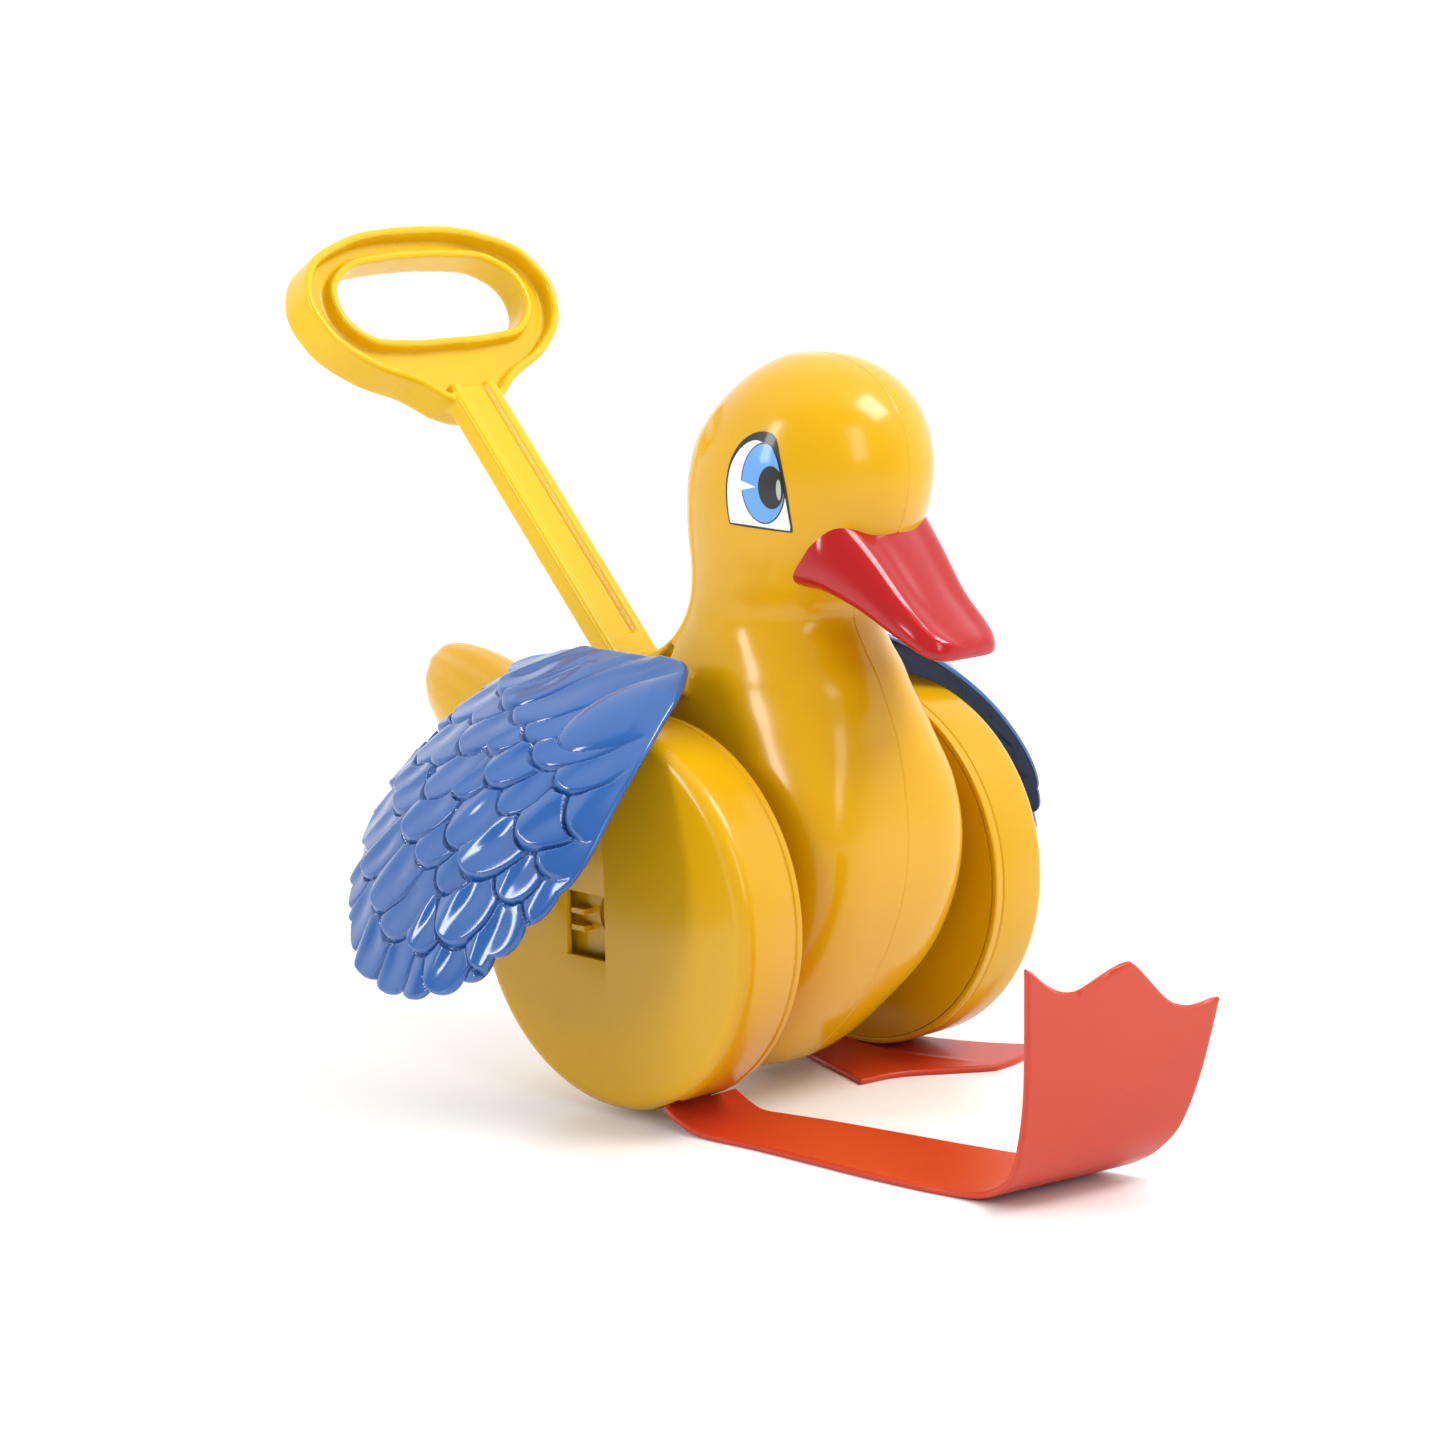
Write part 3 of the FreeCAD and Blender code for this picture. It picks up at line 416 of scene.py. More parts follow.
# ---------------------------------------------------------------- eyes
# Arch of the eye: ahead of the axle, and height.
EYE_ARCH = [(26, 223.5), (25.3, 231), (25.5, 240), (28, 249), (32.5, 255), (38, 257.5), (43.5, 256), (48, 250.5),
            (51, 241), (52, 231), (52, 221.5), (39, 222.6)]
IRIS = (42.3, 239.5, 8.8, 14.6)
PUPIL = (45.8, 238.2, 4.9, 7.9)
GLINT = (48.9, 237.5, 0.9, 3.8)
SPOKES = 96
# how far each layer stands off the head; the glint is a painted highlight, the other layers are print
RIM_UP, WHITE_UP, IRIS_RIM_UP, IRIS_UP, WEDGE_UP, PUPIL_UP, GLINT_UP = 0.30, 0.38, 0.46, 0.54, 0.62, 0.70, 0.78


def radial(points, centre, turns):
    """Distance from a centre to a closed outline in each direction."""
    points = np.asarray(points, float) - np.asarray(centre, float)
    result = np.empty(len(turns))
    for n, turn in enumerate(turns):
        way = np.array([math.cos(turn), math.sin(turn)])
        best = None
        for a, b in zip(points, np.roll(points, -1, axis=0)):
            edge = b - a
            bottom = way[0] * edge[1] - way[1] * edge[0]
            if abs(bottom) < 1e-9:
                continue
            far = (a[0] * edge[1] - a[1] * edge[0]) / bottom
            share = (a[0] * way[1] - a[1] * way[0]) / bottom
            if far > 0 and -1e-6 <= share <= 1 + 1e-6 and (best is None or far > best):
                best = far
        result[n] = best
    return result


def smooth_outline(points, count=120, corners=2):
    """Round an outline through its points, but keep its last corners sharp."""
    points = np.asarray(points, float)
    open_part = points[:len(points) - corners + 1]
    steps = np.concatenate([[0], np.cumsum(np.linalg.norm(np.diff(open_part, axis=0), axis=1))])
    curve = hermite(steps, open_part, np.linspace(0, steps[-1], count))
    return np.concatenate([curve, points[len(points) - corners + 1:]])


def ellipse(shape, count=72):
    turns = np.linspace(0, 2 * np.pi, count, endpoint=False)
    return np.stack([shape[0] + shape[2] * np.cos(turns), shape[1] + shape[3] * np.sin(turns)], 1)


def eye_layer(name, tree, sign, centre, reach, proud, material):
    """Thin layer laid on the head, print or a painted highlight: rings out to a reach, raised by a small amount."""
    rings = 12
    turns = np.linspace(0, 2 * np.pi, len(reach), endpoint=False)
    flat = [centre]
    for r in range(1, rings + 1):
        for turn, far in zip(turns, reach):
            flat.append((centre[0] + math.cos(turn) * far * r / rings, centre[1] + math.sin(turn) * far * r / rings))
    outer, inner = [], []
    for x, z in flat:
        start = Vector((AXLE.x + x * MM, sign * 0.08, z * MM))
        hit, normal, _, _ = tree.ray_cast(start, Vector((0, -sign, 0)))
        if normal.y * sign < 0:
            normal = -normal
        place = Vector(((hit.x - AXLE.x) / MM, hit.y / MM, hit.z / MM))
        outer.append(tuple(place + normal * proud))
        inner.append(tuple(place - normal * 0.15))
    count = len(reach)
    faces = []
    for layer in (0, len(flat)):
        for n in range(count):
            after = (n + 1) % count
            faces.append((layer, layer + 1 + n, layer + 1 + after))
            for r in range(rings - 1):
                a, b = layer + 1 + r * count, layer + 1 + (r + 1) * count
                faces.append((a + n, b + n, b + after, a + after))
    edge = 1 + (rings - 1) * count
    for n in range(count):
        after = (n + 1) % count
        faces.append((edge + n, edge + after, len(flat) + edge + after, len(flat) + edge + n))
    layer_object = paint(make_object(name, outer + inner, faces), material)
    shade_by_angle(layer_object, 40)
    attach(layer_object, "body")
    return layer_object


def build_eyes(duck):
    bm = bmesh.new()
    bm.from_mesh(duck.data)
    tree = BVHTree.FromBMesh(bm)
    bm.free()
    turns = np.linspace(0, 2 * np.pi, SPOKES, endpoint=False)
    arch = smooth_outline(EYE_ARCH, corners=2)
    middle = (39, 238)
    full = radial(arch, middle, turns)
    # the black line round the white is thicker over the top, with a short brow
    line = 0.9 + 1.5 * np.clip(np.sin(turns), 0, 1) ** 3
    brow = 2.2 * np.exp(-((np.degrees(turns) - 72) / 17.0) ** 2)
    iris = radial(ellipse(IRIS), IRIS[:2], turns)
    arch_from_iris = radial(arch, IRIS[:2], turns) - 1.0
    arch_from_pupil = radial(arch, PUPIL[:2], turns) - 1.0
    pupil = np.minimum(radial(ellipse(PUPIL), PUPIL[:2], turns), arch_from_pupil)
    wedge = [(IRIS[0] - IRIS[2] - 0.6, 240.3), (IRIS[0] - IRIS[2] - 0.4, 236.6), (IRIS[0] - 2.2, 238.2)]
    wedge_middle = tuple(np.mean(wedge, axis=0))
    glint = radial(ellipse(GLINT), GLINT[:2], turns)
    for side, sign in SIDES.items():
        rim = eye_layer("eye_rim_" + side, tree, sign, middle, full + brow, RIM_UP, EYE_BLACK)
        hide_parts("eye_sticker_" + side)
        eye_layer("eye_white_" + side, tree, sign, middle, full - line, WHITE_UP, EYE_WHITE)
        iris_rim = np.minimum(iris + 0.35, arch_from_iris + 0.2)
        eye_layer("eye_iris_rim_" + side, tree, sign, IRIS[:2], iris_rim, IRIS_RIM_UP, EYE_BLACK)
        blue = np.minimum(iris, arch_from_iris) - 0.15
        eye_layer("eye_iris_" + side, tree, sign, IRIS[:2], blue, IRIS_UP, EYE_BLUE)
        notch = radial(wedge, wedge_middle, turns)
        eye_layer("eye_wedge_" + side, tree, sign, wedge_middle, notch, WEDGE_UP, EYE_WHITE)
        eye_layer("eye_pupil_" + side, tree, sign, PUPIL[:2], pupil, PUPIL_UP, EYE_BLACK)
        # the glint crescent is a painted highlight on the pupil
        shine = np.minimum(glint, radial(arch, GLINT[:2], turns) - 1.2)
        eye_layer("eye_glint_" + side, tree, sign, GLINT[:2], shine, GLINT_UP, EYE_GLINT)


# ---------------------------------------------------------------- handle
GRIP_HALF = [(0, -9), (13, -5), (25, 4), (45, 14), (60, 29), (64, 46), (57, 61), (35, 72.5), (0, 76.5)]
HOLE_HALF = [(0, 25), (24, 25.5), (41, 29), (49, 39), (48, 50), (38, 58.5), (18, 62), (0, 62.5)]
GRIP_START = (-169, 257)
GRIP_LEAN = math.radians(31.6)
STEM_HALF = 12.0
STEM_LONG = 139.0
STEM_SUNK = 33.0
RIM = 3.6
GRIP_SPREAD = 1.04
GRIP_DEEP, HOLE_RIM_DEEP, GRIP_WEB = 18.0, 15.0, 3.0
STEM_DEEP, STEM_WEB = 10.0, 4.0
HANDLE_VOXEL, HANDLE_SOFTENING = 0.75, 12


def closed_smooth(half, count=180):
    """Smooth closed outline from a half outline that starts and ends on the middle line."""
    points = half + [(-across, along) for across, along in half[-2:0:-1]]
    points = np.array(points + points[:4], float)
    lead = np.array(points[len(points) - 7:len(points) - 4])
    full = np.concatenate([lead, points])
    steps = np.concatenate([[0], np.cumsum(np.linalg.norm(np.diff(full, axis=0), axis=1))])
    first, last = steps[3], steps[3 + len(points) - 4]
    return hermite(steps, full, np.linspace(first, last, count, endpoint=False))


def inset(points, amount):
    """Closed outline moved inwards by an amount."""
    before, after = np.roll(points, 1, axis=0), np.roll(points, -1, axis=0)
    way = after - before
    way /= np.linalg.norm(way, axis=1)[:, None]
    return points + amount * np.stack([-way[:, 1], way[:, 0]], 1)


def flat_band(name, outlines, thick, round_off):
    """Plate with rounded edges from outlines in the y-z plane; inner outlines are holes."""
    curve = bpy.data.curves.new(name, "CURVE")
    curve.dimensions = "2D"
    curve.fill_mode = "BOTH"
    curve.extrude = (thick / 2 - round_off) * MM
    curve.bevel_depth = round_off * MM
    curve.bevel_resolution = 3
    curve.offset = -round_off * MM
    for outline in outlines:
        spline = curve.splines.new("POLY")
        spline.points.add(len(outline) - 1)
        for point, (across, along) in zip(spline.points, outline):
            point.co = (across * MM, along * MM, 0, 1)
        spline.use_cyclic_u = True
    obj = bpy.data.objects.new(name, curve)
    bpy.context.scene.collection.objects.link(obj)
    bpy.context.view_layer.update()
    mesh = bpy.data.meshes.new_from_object(obj.evaluated_get(bpy.context.evaluated_depsgraph_get()))
    bpy.data.objects.remove(obj)
    result = bpy.data.objects.new(name, mesh)
    bpy.context.scene.collection.objects.link(result)
    return result


def lay(obj, in_stem):
    """Turn a flat plate (across, along, through) into the grip's or the stem's place."""
    for vertex in obj.data.vertices:
        across, along, through = vertex.co / MM
        if in_stem:
            place = stem_matrix() @ Vector((through, across, along))
        else:
            lean = Matrix.Translation((GRIP_START[0], 0, GRIP_START[1])) @ Matrix.Rotation(-GRIP_LEAN, 4, "Y")
            place = lean @ Vector((through, across, along))
        vertex.co = (place.x * MM + AXLE.x, place.y * MM, place.z * MM)
    return obj


def build_handle():
    grip = closed_smooth([(across * GRIP_SPREAD, along) for across, along in GRIP_HALF])
    hole = closed_smooth(HOLE_HALF)
    rail = STEM_HALF - 1.5 * RIM
    outer_rim = flat_band("outer_rim", [grip, inset(grip, RIM)], GRIP_DEEP, 1.3)
    # the front of the rim is open where the stem's trough runs into the grip
    shift = -AXLE.x / MM
    cut(outer_rim, block("mouth", (shift - rail, -14, 1.5), (shift + rail, -1, 12)))
    parts = [
        lay(flat_band("web", [grip, hole], GRIP_WEB, 0.4), False),
        lay(outer_rim, False),
        lay(flat_band("inner_rim", [inset(hole, -RIM), hole], HOLE_RIM_DEEP, 1.3), False),
    ]
    top = STEM_LONG + 4
    foot = [(-STEM_HALF, -STEM_SUNK), (STEM_HALF, -STEM_SUNK), (STEM_HALF, 12), (-STEM_HALF, 12)]
    stem = [(-STEM_HALF, -STEM_SUNK), (STEM_HALF, -STEM_SUNK), (STEM_HALF, top), (-STEM_HALF, top)]
    parts += [lay(flat_band("stem_foot", [foot], STEM_DEEP, 1.2), True),
              lay(flat_band("stem_web", [stem], STEM_WEB, 0.4), True)]
    for low, high in ((-STEM_HALF, -rail), (rail, STEM_HALF)):
        bar = [(low, -STEM_SUNK), (high, -STEM_SUNK), (high, top), (low, top)]
        parts.append(lay(flat_band("stem_rail", [bar], STEM_DEEP, 1.2), True))
    handle = merge(parts[0], *parts[1:])
    handle.name = "ring_handle"
    fuse(handle, HANDLE_VOXEL, HANDLE_SOFTENING)
    paint(handle, HANDLE_YELLOW)
    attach(handle, "body")
    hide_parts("handle")


# ---------------------------------------------------------------- wheels
ROUND = 6.0
WALL = 2.5
BOSS_RADIUS = 9.0
SHAFT_HOLE = 4.1
COVER_THICK = 3.0
INNER_ROUND = 4.0
WINDOW_HALF_WIDE, WINDOW_HALF_HIGH, WINDOW_DEEP = 10.5, 12.5, 7.2
SLOT_HALF = 7.2
SLOT_TURN = 4.5
TURN_STEPS = 192


def revolve(name, profile, sign):
    """Closed ring about the axle from a closed profile of (radius, distance from the middle plane)."""
    turns = np.linspace(0, 2 * np.pi, TURN_STEPS, endpoint=False)
    rings = [[(r * math.cos(t), sign * d, HIGH + r * math.sin(t)) for r, d in profile] for t in turns]
    points = np.array(rings).reshape(-1, 3)
    count = len(profile)
    faces = []
    for a in range(TURN_STEPS):
        b = (a + 1) % TURN_STEPS
        for n in range(count):
            after = (n + 1) % count
            faces.append((a * count + n, a * count + after, b * count + after, b * count + n))
    return weld(make_object(name, points, faces))


def arc(centre, radius, start, end, steps=10):
    turns = np.radians(np.linspace(start, end, steps))
    return [(centre[0] + radius * math.cos(t), centre[1] + radius * math.sin(t)) for t in turns]


def build_wheel(side, sign):
    face = OUTSIDE
    inner = RADIUS - WALL - INNER_ROUND
    profile = [(BOSS_RADIUS, INSIDE + COVER_THICK), (BOSS_RADIUS, face - WALL), (inner, face - WALL)]
    profile += arc((inner, face - WALL - INNER_ROUND), INNER_ROUND, 90, 0, 6)[1:]
    profile += [(RADIUS - WALL, INSIDE + 0.5)] + arc((RADIUS - WALL + 0.6, INSIDE + 0.6), 0.6, 180, 270, 4)
    profile += arc((RADIUS - 0.8, INSIDE + 0.8), 0.8, -90, 0, 5)
    profile += [(RADIUS, INSIDE + 3.0), (RADIUS - 0.5, INSIDE + 3.4), (RADIUS - 0.5, INSIDE + 4.4), (RADIUS, INSIDE + 4.8)]
    profile += arc((RADIUS - ROUND, face - ROUND), ROUND, 0, 90, 14)
    profile += [(RADIUS - ROUND - 1.5, face), (RADIUS * 0.5, face - 0.15), (0, face - 0.15), (0, AXLE_END),
                (SHAFT_HOLE, AXLE_END), (SHAFT_HOLE, INSIDE + COVER_THICK)]
    wheel = revolve("wheel_" + side, profile, sign)
    clip_low, clip_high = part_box("hub_clip_" + side)
    middle_x = ((clip_low.x + clip_high.x) / 2 - AXLE.x) / MM
    middle_z = (clip_low.z + clip_high.z) / 2 / MM
    depth = sorted((sign * (face - WINDOW_DEEP), sign * (face + 4)))
    window = block("window", (middle_x - WINDOW_HALF_WIDE, depth[0], middle_z - WINDOW_HALF_HIGH),
                   (middle_x + WINDOW_HALF_WIDE, depth[1], middle_z + WINDOW_HALF_HIGH))
    cut(wheel, window)
    foot_low, foot_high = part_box("foot_anchor_" + side)
    eye = (foot_low + foot_high) / 2
    ahead = math.atan2(eye.x - AXLE.x, AXLE.z - eye.z) + math.radians(SLOT_TURN)
    turn = Matrix.Translation((0, 0, HIGH)) @ Matrix.Rotation(-ahead, 4, "Y")
    slot_y = sorted((sign * (INSIDE + 1.4), sign * (OUTSIDE - 3)))
    cut(wheel, block("slot", (-SLOT_HALF, slot_y[0], -RADIUS - 5), (SLOT_HALF, slot_y[1], -RADIUS + 8), turn))
    soften = wheel.modifiers.new("edges", "BEVEL")
    soften.width = 0.35 * MM
    soften.segments = 2
    soften.limit_method = "ANGLE"
    soften.angle_limit = math.radians(50)
    apply_modifiers(wheel)
    shade_by_angle(wheel, 35)
    paint(wheel, WHEEL_YELLOW)
    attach(wheel, "wheels")
    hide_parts("wheel_drum_" + side)


# ---------------------------------------------------------------- feet
THICK = 2.5
FLAT = THICK / 2
STRAP_IN, STRAP_OUT = 44.5, 82.5
WRAP_RADIUS = RADIUS + 0.3 + FLAT
LIFT_CENTRE = (52.0, 47.4 + FLAT)
LIFT_RADIUS = 47.4


def around(centre, radius, angle):
    turn = math.radians(angle)
    return centre[0] + radius * math.sin(turn), centre[1] - radius * math.cos(turn)


def wrapped_line(angle):
    spread = max(0.0, 1 + angle / 85.0)
    x, z = around((0, HIGH), WRAP_RADIUS, angle)
    return ((x, STRAP_IN - 17.5 * spread ** 1.5, z), (x, STRAP_OUT - 3.5 * spread, z))


def lift_line(angle):
    x, z = around(LIFT_CENTRE, LIFT_RADIUS, angle)
    return ((x, STRAP_IN, z), (x, STRAP_OUT, z))


def flat_line(inside_x, inside_y, outside_x, outside_y):
    return ((inside_x, inside_y, FLAT), (outside_x, outside_y, FLAT))


# Lines across each foot's middle surface, from the rim to just beyond the toes.
RIGHT_LINES = [lift_line(angle) for angle in (-29.5, -20, -10)]
RIGHT_LINES += [
    flat_line(53, 41, 53, 82), flat_line(75, 36, 75, 80), flat_line(105, 31, 105, 79.5),
    flat_line(130, 27, 130, 79), flat_line(155, 22, 152, 77.5), ((170, 17, 1.4), (163, 76, 1.4)),
    ((182, 14, 2.2), (173, 75, 2.2)), ((191, 12, 4.2), (181, 75.2, 4.2)), ((198, 10, 7.5), (188, 76.5, 8)),
    ((204, 8, 12), (194, 78.2, 13)), ((211, 5, 21.5), (201.5, 82.5, 25)), ((218, 3, 41), (211, 90, 50)),
    ((226, 3, 70), (226, 107, 99)), ((230, 4, 84), (230, 112, 113)),
]
LEFT_LINES = [wrapped_line(angle) for angle in range(-139, -5, 9)]
LEFT_LINES += [
    flat_line(0, 27, 0, 79), flat_line(6, 25, 7, 79.3), flat_line(14, 22, 20, 81.5), flat_line(27, 17.5, 44, 92),
    flat_line(41, 12, 74, 114), flat_line(50, 9, 84, 121),
]
RIGHT_TOES = [(226, 107, 99), (227.5, 55, 92), (226, 3, 70)]
LEFT_TOES = [(74, 114, FLAT), (66, 64, FLAT), (41, 12, FLAT)]
VALLEY = 9.5
TIP_ROUND = 1.5


def line_at(lines, at):
    """Inner and outer ends of the line across a foot at fractional places along it."""
    order = np.arange(len(lines))
    flat = hermite(order, np.array(lines).reshape(len(lines), 6), at)
    return flat[:, :3], flat[:, 3:]


def toe_reach(lines, toes):
    """How far along the lines each strip of the web reaches, from one edge to the other."""
    strips = np.linspace(0, 1, 121)
    places = np.linspace(len(lines) - 5, len(lines) - 1, 400)
    inner, outer = line_at(lines, places)
    tips = []
    for toe in toes[::-1]:
        best = None
        for strip in np.linspace(0, 1, 201):
            path = inner + (outer - inner) * strip
            far = np.linalg.norm(path - np.array(toe), axis=1)
            n = int(far.argmin())
            if best is None or far[n] < best[0]:
                best = (far[n], strip, places[n])
        tips.append((best[1], best[2]))
    pace = np.linalg.norm(np.diff((inner + outer) / 2, axis=0), axis=1).sum() / (places[-1] - places[0])
    reach = np.empty(len(strips))
    tip_strips = [t[0] for t in tips]
    tip_strips[0], tip_strips[-1] = 0.0, 1.0
    for n, strip in enumerate(strips):
        k = 0 if strip <= tip_strips[1] else 1
        share = (strip - tip_strips[k]) / (tip_strips[k + 1] - tip_strips[k])
        straight = tips[k][1] + (tips[k + 1][1] - tips[k][1]) * share
        bow = 1 - abs(2 * share - 1) ** 1.9
        near_tip = min(share, 1 - share)
        blunt = TIP_ROUND * math.exp(-(near_tip / 0.045) ** 2)
        reach[n] = straight - (VALLEY * bow + blunt * 0.6) / pace
    return strips, reach


def build_foot(side, sign, lines, toes):
    strips, reach = toe_reach(lines, toes)
    across = np.concatenate([[0, 0.004, 0.012, 0.025], np.linspace(0.045, 0.955, 92), [0.975, 0.988, 0.996, 1]])
    along = np.concatenate([np.linspace(0, 0.975, 240), [0.981, 0.987, 0.992, 0.996, 0.9985, 1]])
    limit = np.interp(across, strips, reach)
    grid = np.empty((len(along), len(across), 3))
    for j, strip in enumerate(across):
        inner, outer = line_at(lines, along * limit[j])
        grid[:, j] = inner + (outer - inner) * strip
    d_along = np.gradient(grid, axis=0)
    d_across = np.gradient(grid, axis=1)
    normal = np.cross(d_along, d_across)
    normal /= np.linalg.norm(normal, axis=2)[:, :, None]
    # distance to the nearest edge rounds the sheet's border
    width = np.linalg.norm(grid[:, -1] - grid[:, 0], axis=1)
    edge_in, edge_out = across[None, :] * width[:, None], (1 - across)[None, :] * width[:, None]
    to_end = np.linalg.norm(grid - grid[-1][None], axis=2)
    edge = np.minimum(np.minimum(edge_in, edge_out), to_end)
    reach_in = np.clip(edge / (THICK / 2), 0, 1)
    half = THICK / 2 * np.sqrt(np.clip(1 - (1 - reach_in) ** 2, 0, 1))
    # a low rib runs along the middle of the web, rising towards the toes
    path = np.linspace(0, 1, len(along))[:, None]
    rise = np.clip((path - 0.62) / 0.12, 0, 1) * np.clip((0.97 - path) / 0.1, 0, 1)
    rib = np.exp(-((across[None, :] - 0.5) / 0.035) ** 2) * 0.5 * rise
    upper = grid + normal * (half + rib)[:, :, None]
    lower = grid - normal * half[:, :, None]
    upper[..., 2] = np.maximum(upper[..., 2], 0.02)
    lower[..., 2] = np.maximum(lower[..., 2], 0.0)
    rows, columns = grid.shape[:2]
    points = np.concatenate([upper.reshape(-1, 3), lower.reshape(-1, 3)])
    under = rows * columns
    faces = []
    for i in range(rows - 1):
        for j in range(columns - 1):
            a, b, c, d = i * columns + j, i * columns + j + 1, (i + 1) * columns + j + 1, (i + 1) * columns + j
            faces.append((a, b, c, d))
            faces.append((under + d, under + c, under + b, under + a))
    for i in range(rows - 1):
        for j in (0, columns - 1):
            a, d = i * columns + j, (i + 1) * columns + j
            faces.append((a, d, under + d, under + a))
    for j in range(columns - 1):
        for i in (0, rows - 1):
            a, b = i * columns + j, i * columns + j + 1
            faces.append((a, b, under + b, under + a))
    points[:, 1] *= sign
    foot = make_object("web_foot_" + side, points, faces)
    low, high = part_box("foot_anchor_" + side)
    eye = ((low + high) / 2) / MM
    eye_x = eye.x - AXLE.x / MM
    start = (np.array(lines[0][0]) + np.array(lines[0][1])) / 2
    way = Vector((start[0] - eye_x, 0, start[2] - eye.z))
    lean = math.atan2(way.x, way.z)
    place = Matrix.Translation((eye_x, 0, eye.z)) @ Matrix.Rotation(lean, 4, "Y")
    edges = sorted((sign * 58.5, sign * 80.0))
    root = block("root", (-FLAT, edges[0], 1.5), (FLAT, edges[1], way.length + 1.5), place)
    turns = np.linspace(0, 2 * np.pi, 40, endpoint=False)
    rings = [[(eye_x + r * math.cos(t), y, eye.z + r * math.sin(t)) for t in turns]
             for y, r in ((edges[0], 3.4), (edges[0] + 0.6, 4.0), (edges[1] - 0.6, 4.0), (edges[1], 3.4))]
    merge(foot, root, loft("bead", rings))
    weld(foot)
    shade_by_angle(foot, 50)
    paint(foot, FOOT_RED)
    if side == "right":
        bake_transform(foot)
    else:
        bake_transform(foot)
    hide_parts("foot_" + side)


# ---------------------------------------------------------------- wings
WING_EDGE = [(17, 47, 171), (29, 84, 153), (33, 110, 132), (32, 129, 108), (20, 144, 86), (2, 152, 65),
             (-17, 155, 57), (-38, 154, 53), (-69, 146, 60), (-90, 131, 80), (-104, 107, 103), (-88, 86, 138),
             (-72, 58, 158)]
WING_CENTRE = np.array([-20.0, 8.0, 33.0])
WING_RADIUS = 149.0
WING_THICK = 2.0
WING_SUNK = 1.6
INNER_SHARE = 0.22
SCALLOP_LONG, SCALLOP_DEEP = 17.5, 3.0
WING_FACE = np.array([-0.136, 0.80, 0.58])
TIP_WAY = np.array([-0.52, 0.38, -0.76])
FEATHER_ROWS = 7
FEATHER_STEP = 21.0
FEATHER_WIDE = 12.0
FEATHER_LONG = 44.0
FEATHER_HIGH = 3.0


def wing_axes():
    """Flat axes of a wing: along towards the tip, across towards the front, and out."""
    out = WING_FACE / np.linalg.norm(WING_FACE)
    along = TIP_WAY - out * np.dot(TIP_WAY, out)
    along /= np.linalg.norm(along)
    return along, np.cross(out, along), out


def on_sphere(flat, axes, radius):
    """Points of the wing's sphere above flat places."""
    along, across, out = axes
    base = flat[:, :1] * along + flat[:, 1:2] * across
    high = np.sqrt(np.clip(radius ** 2 - (flat ** 2).sum(1), 1, None))
    return WING_CENTRE + base + high[:, None] * out


def feather_list():
    """Places of the feathers' tips in flat axes, from the wing's tip back to its root."""
    rng = np.random.default_rng(11)
    found = []
    for row in range(FEATHER_ROWS, -1, -1):
        for column in range(-5, 6):
            place = row * FEATHER_STEP + rng.uniform(-6.0, 6.0) - 56
            side = (column + 0.5 * (row % 2)) * FEATHER_WIDE * 1.62 + rng.uniform(-2.5, 2.5)
            fan = side * 0.0045 + rng.uniform(-0.2, 0.2)
            found.append((place, side * (0.80 + 0.025 * row), fan, rng.uniform(0.85, 1.25), rng.uniform(0.5, 1.25)))
    return found


def feather_relief(flat):
    """Height of overlapping soft feathers, each rising towards its round tip."""
    height = np.zeros(len(flat))
    for place, side, fan, scale, lift in feather_list():
        c, s = math.cos(fan), math.sin(fan)
        u = (flat[:, 0] - place) * c + (flat[:, 1] - side) * s
        v = -(flat[:, 0] - place) * s + (flat[:, 1] - side) * c
        half = FEATHER_WIDE * scale
        tip = half * 1.35
        body = np.where(u > 0, (np.abs(u) / tip) ** 1.7 + (v / half) ** 2, (v / half) ** 2)
        share = np.clip((u + FEATHER_LONG) / (FEATHER_LONG + tip), 0, 1)
        crown = (1 - (v / half) ** 2) * 1.2 + 0.9 * np.exp(-((v - 0.3 * half) / (0.25 * half)) ** 2)
        dish = 1.1 * np.exp(-((u + 2) / 8) ** 2) * np.exp(-((v + 0.15 * half) / (0.4 * half)) ** 2)
        edge = np.clip((1 - np.sqrt(body)) / 0.17, 0, 1)
        value = (0.3 + (FEATHER_HIGH * share ** 1.4 + crown - dish) * lift) * np.sin(edge * np.pi / 2)
        inside = (body < 1) & (u > -FEATHER_LONG)
        height = np.where(inside, np.maximum(value, height * (1 - share)), height)
    return height


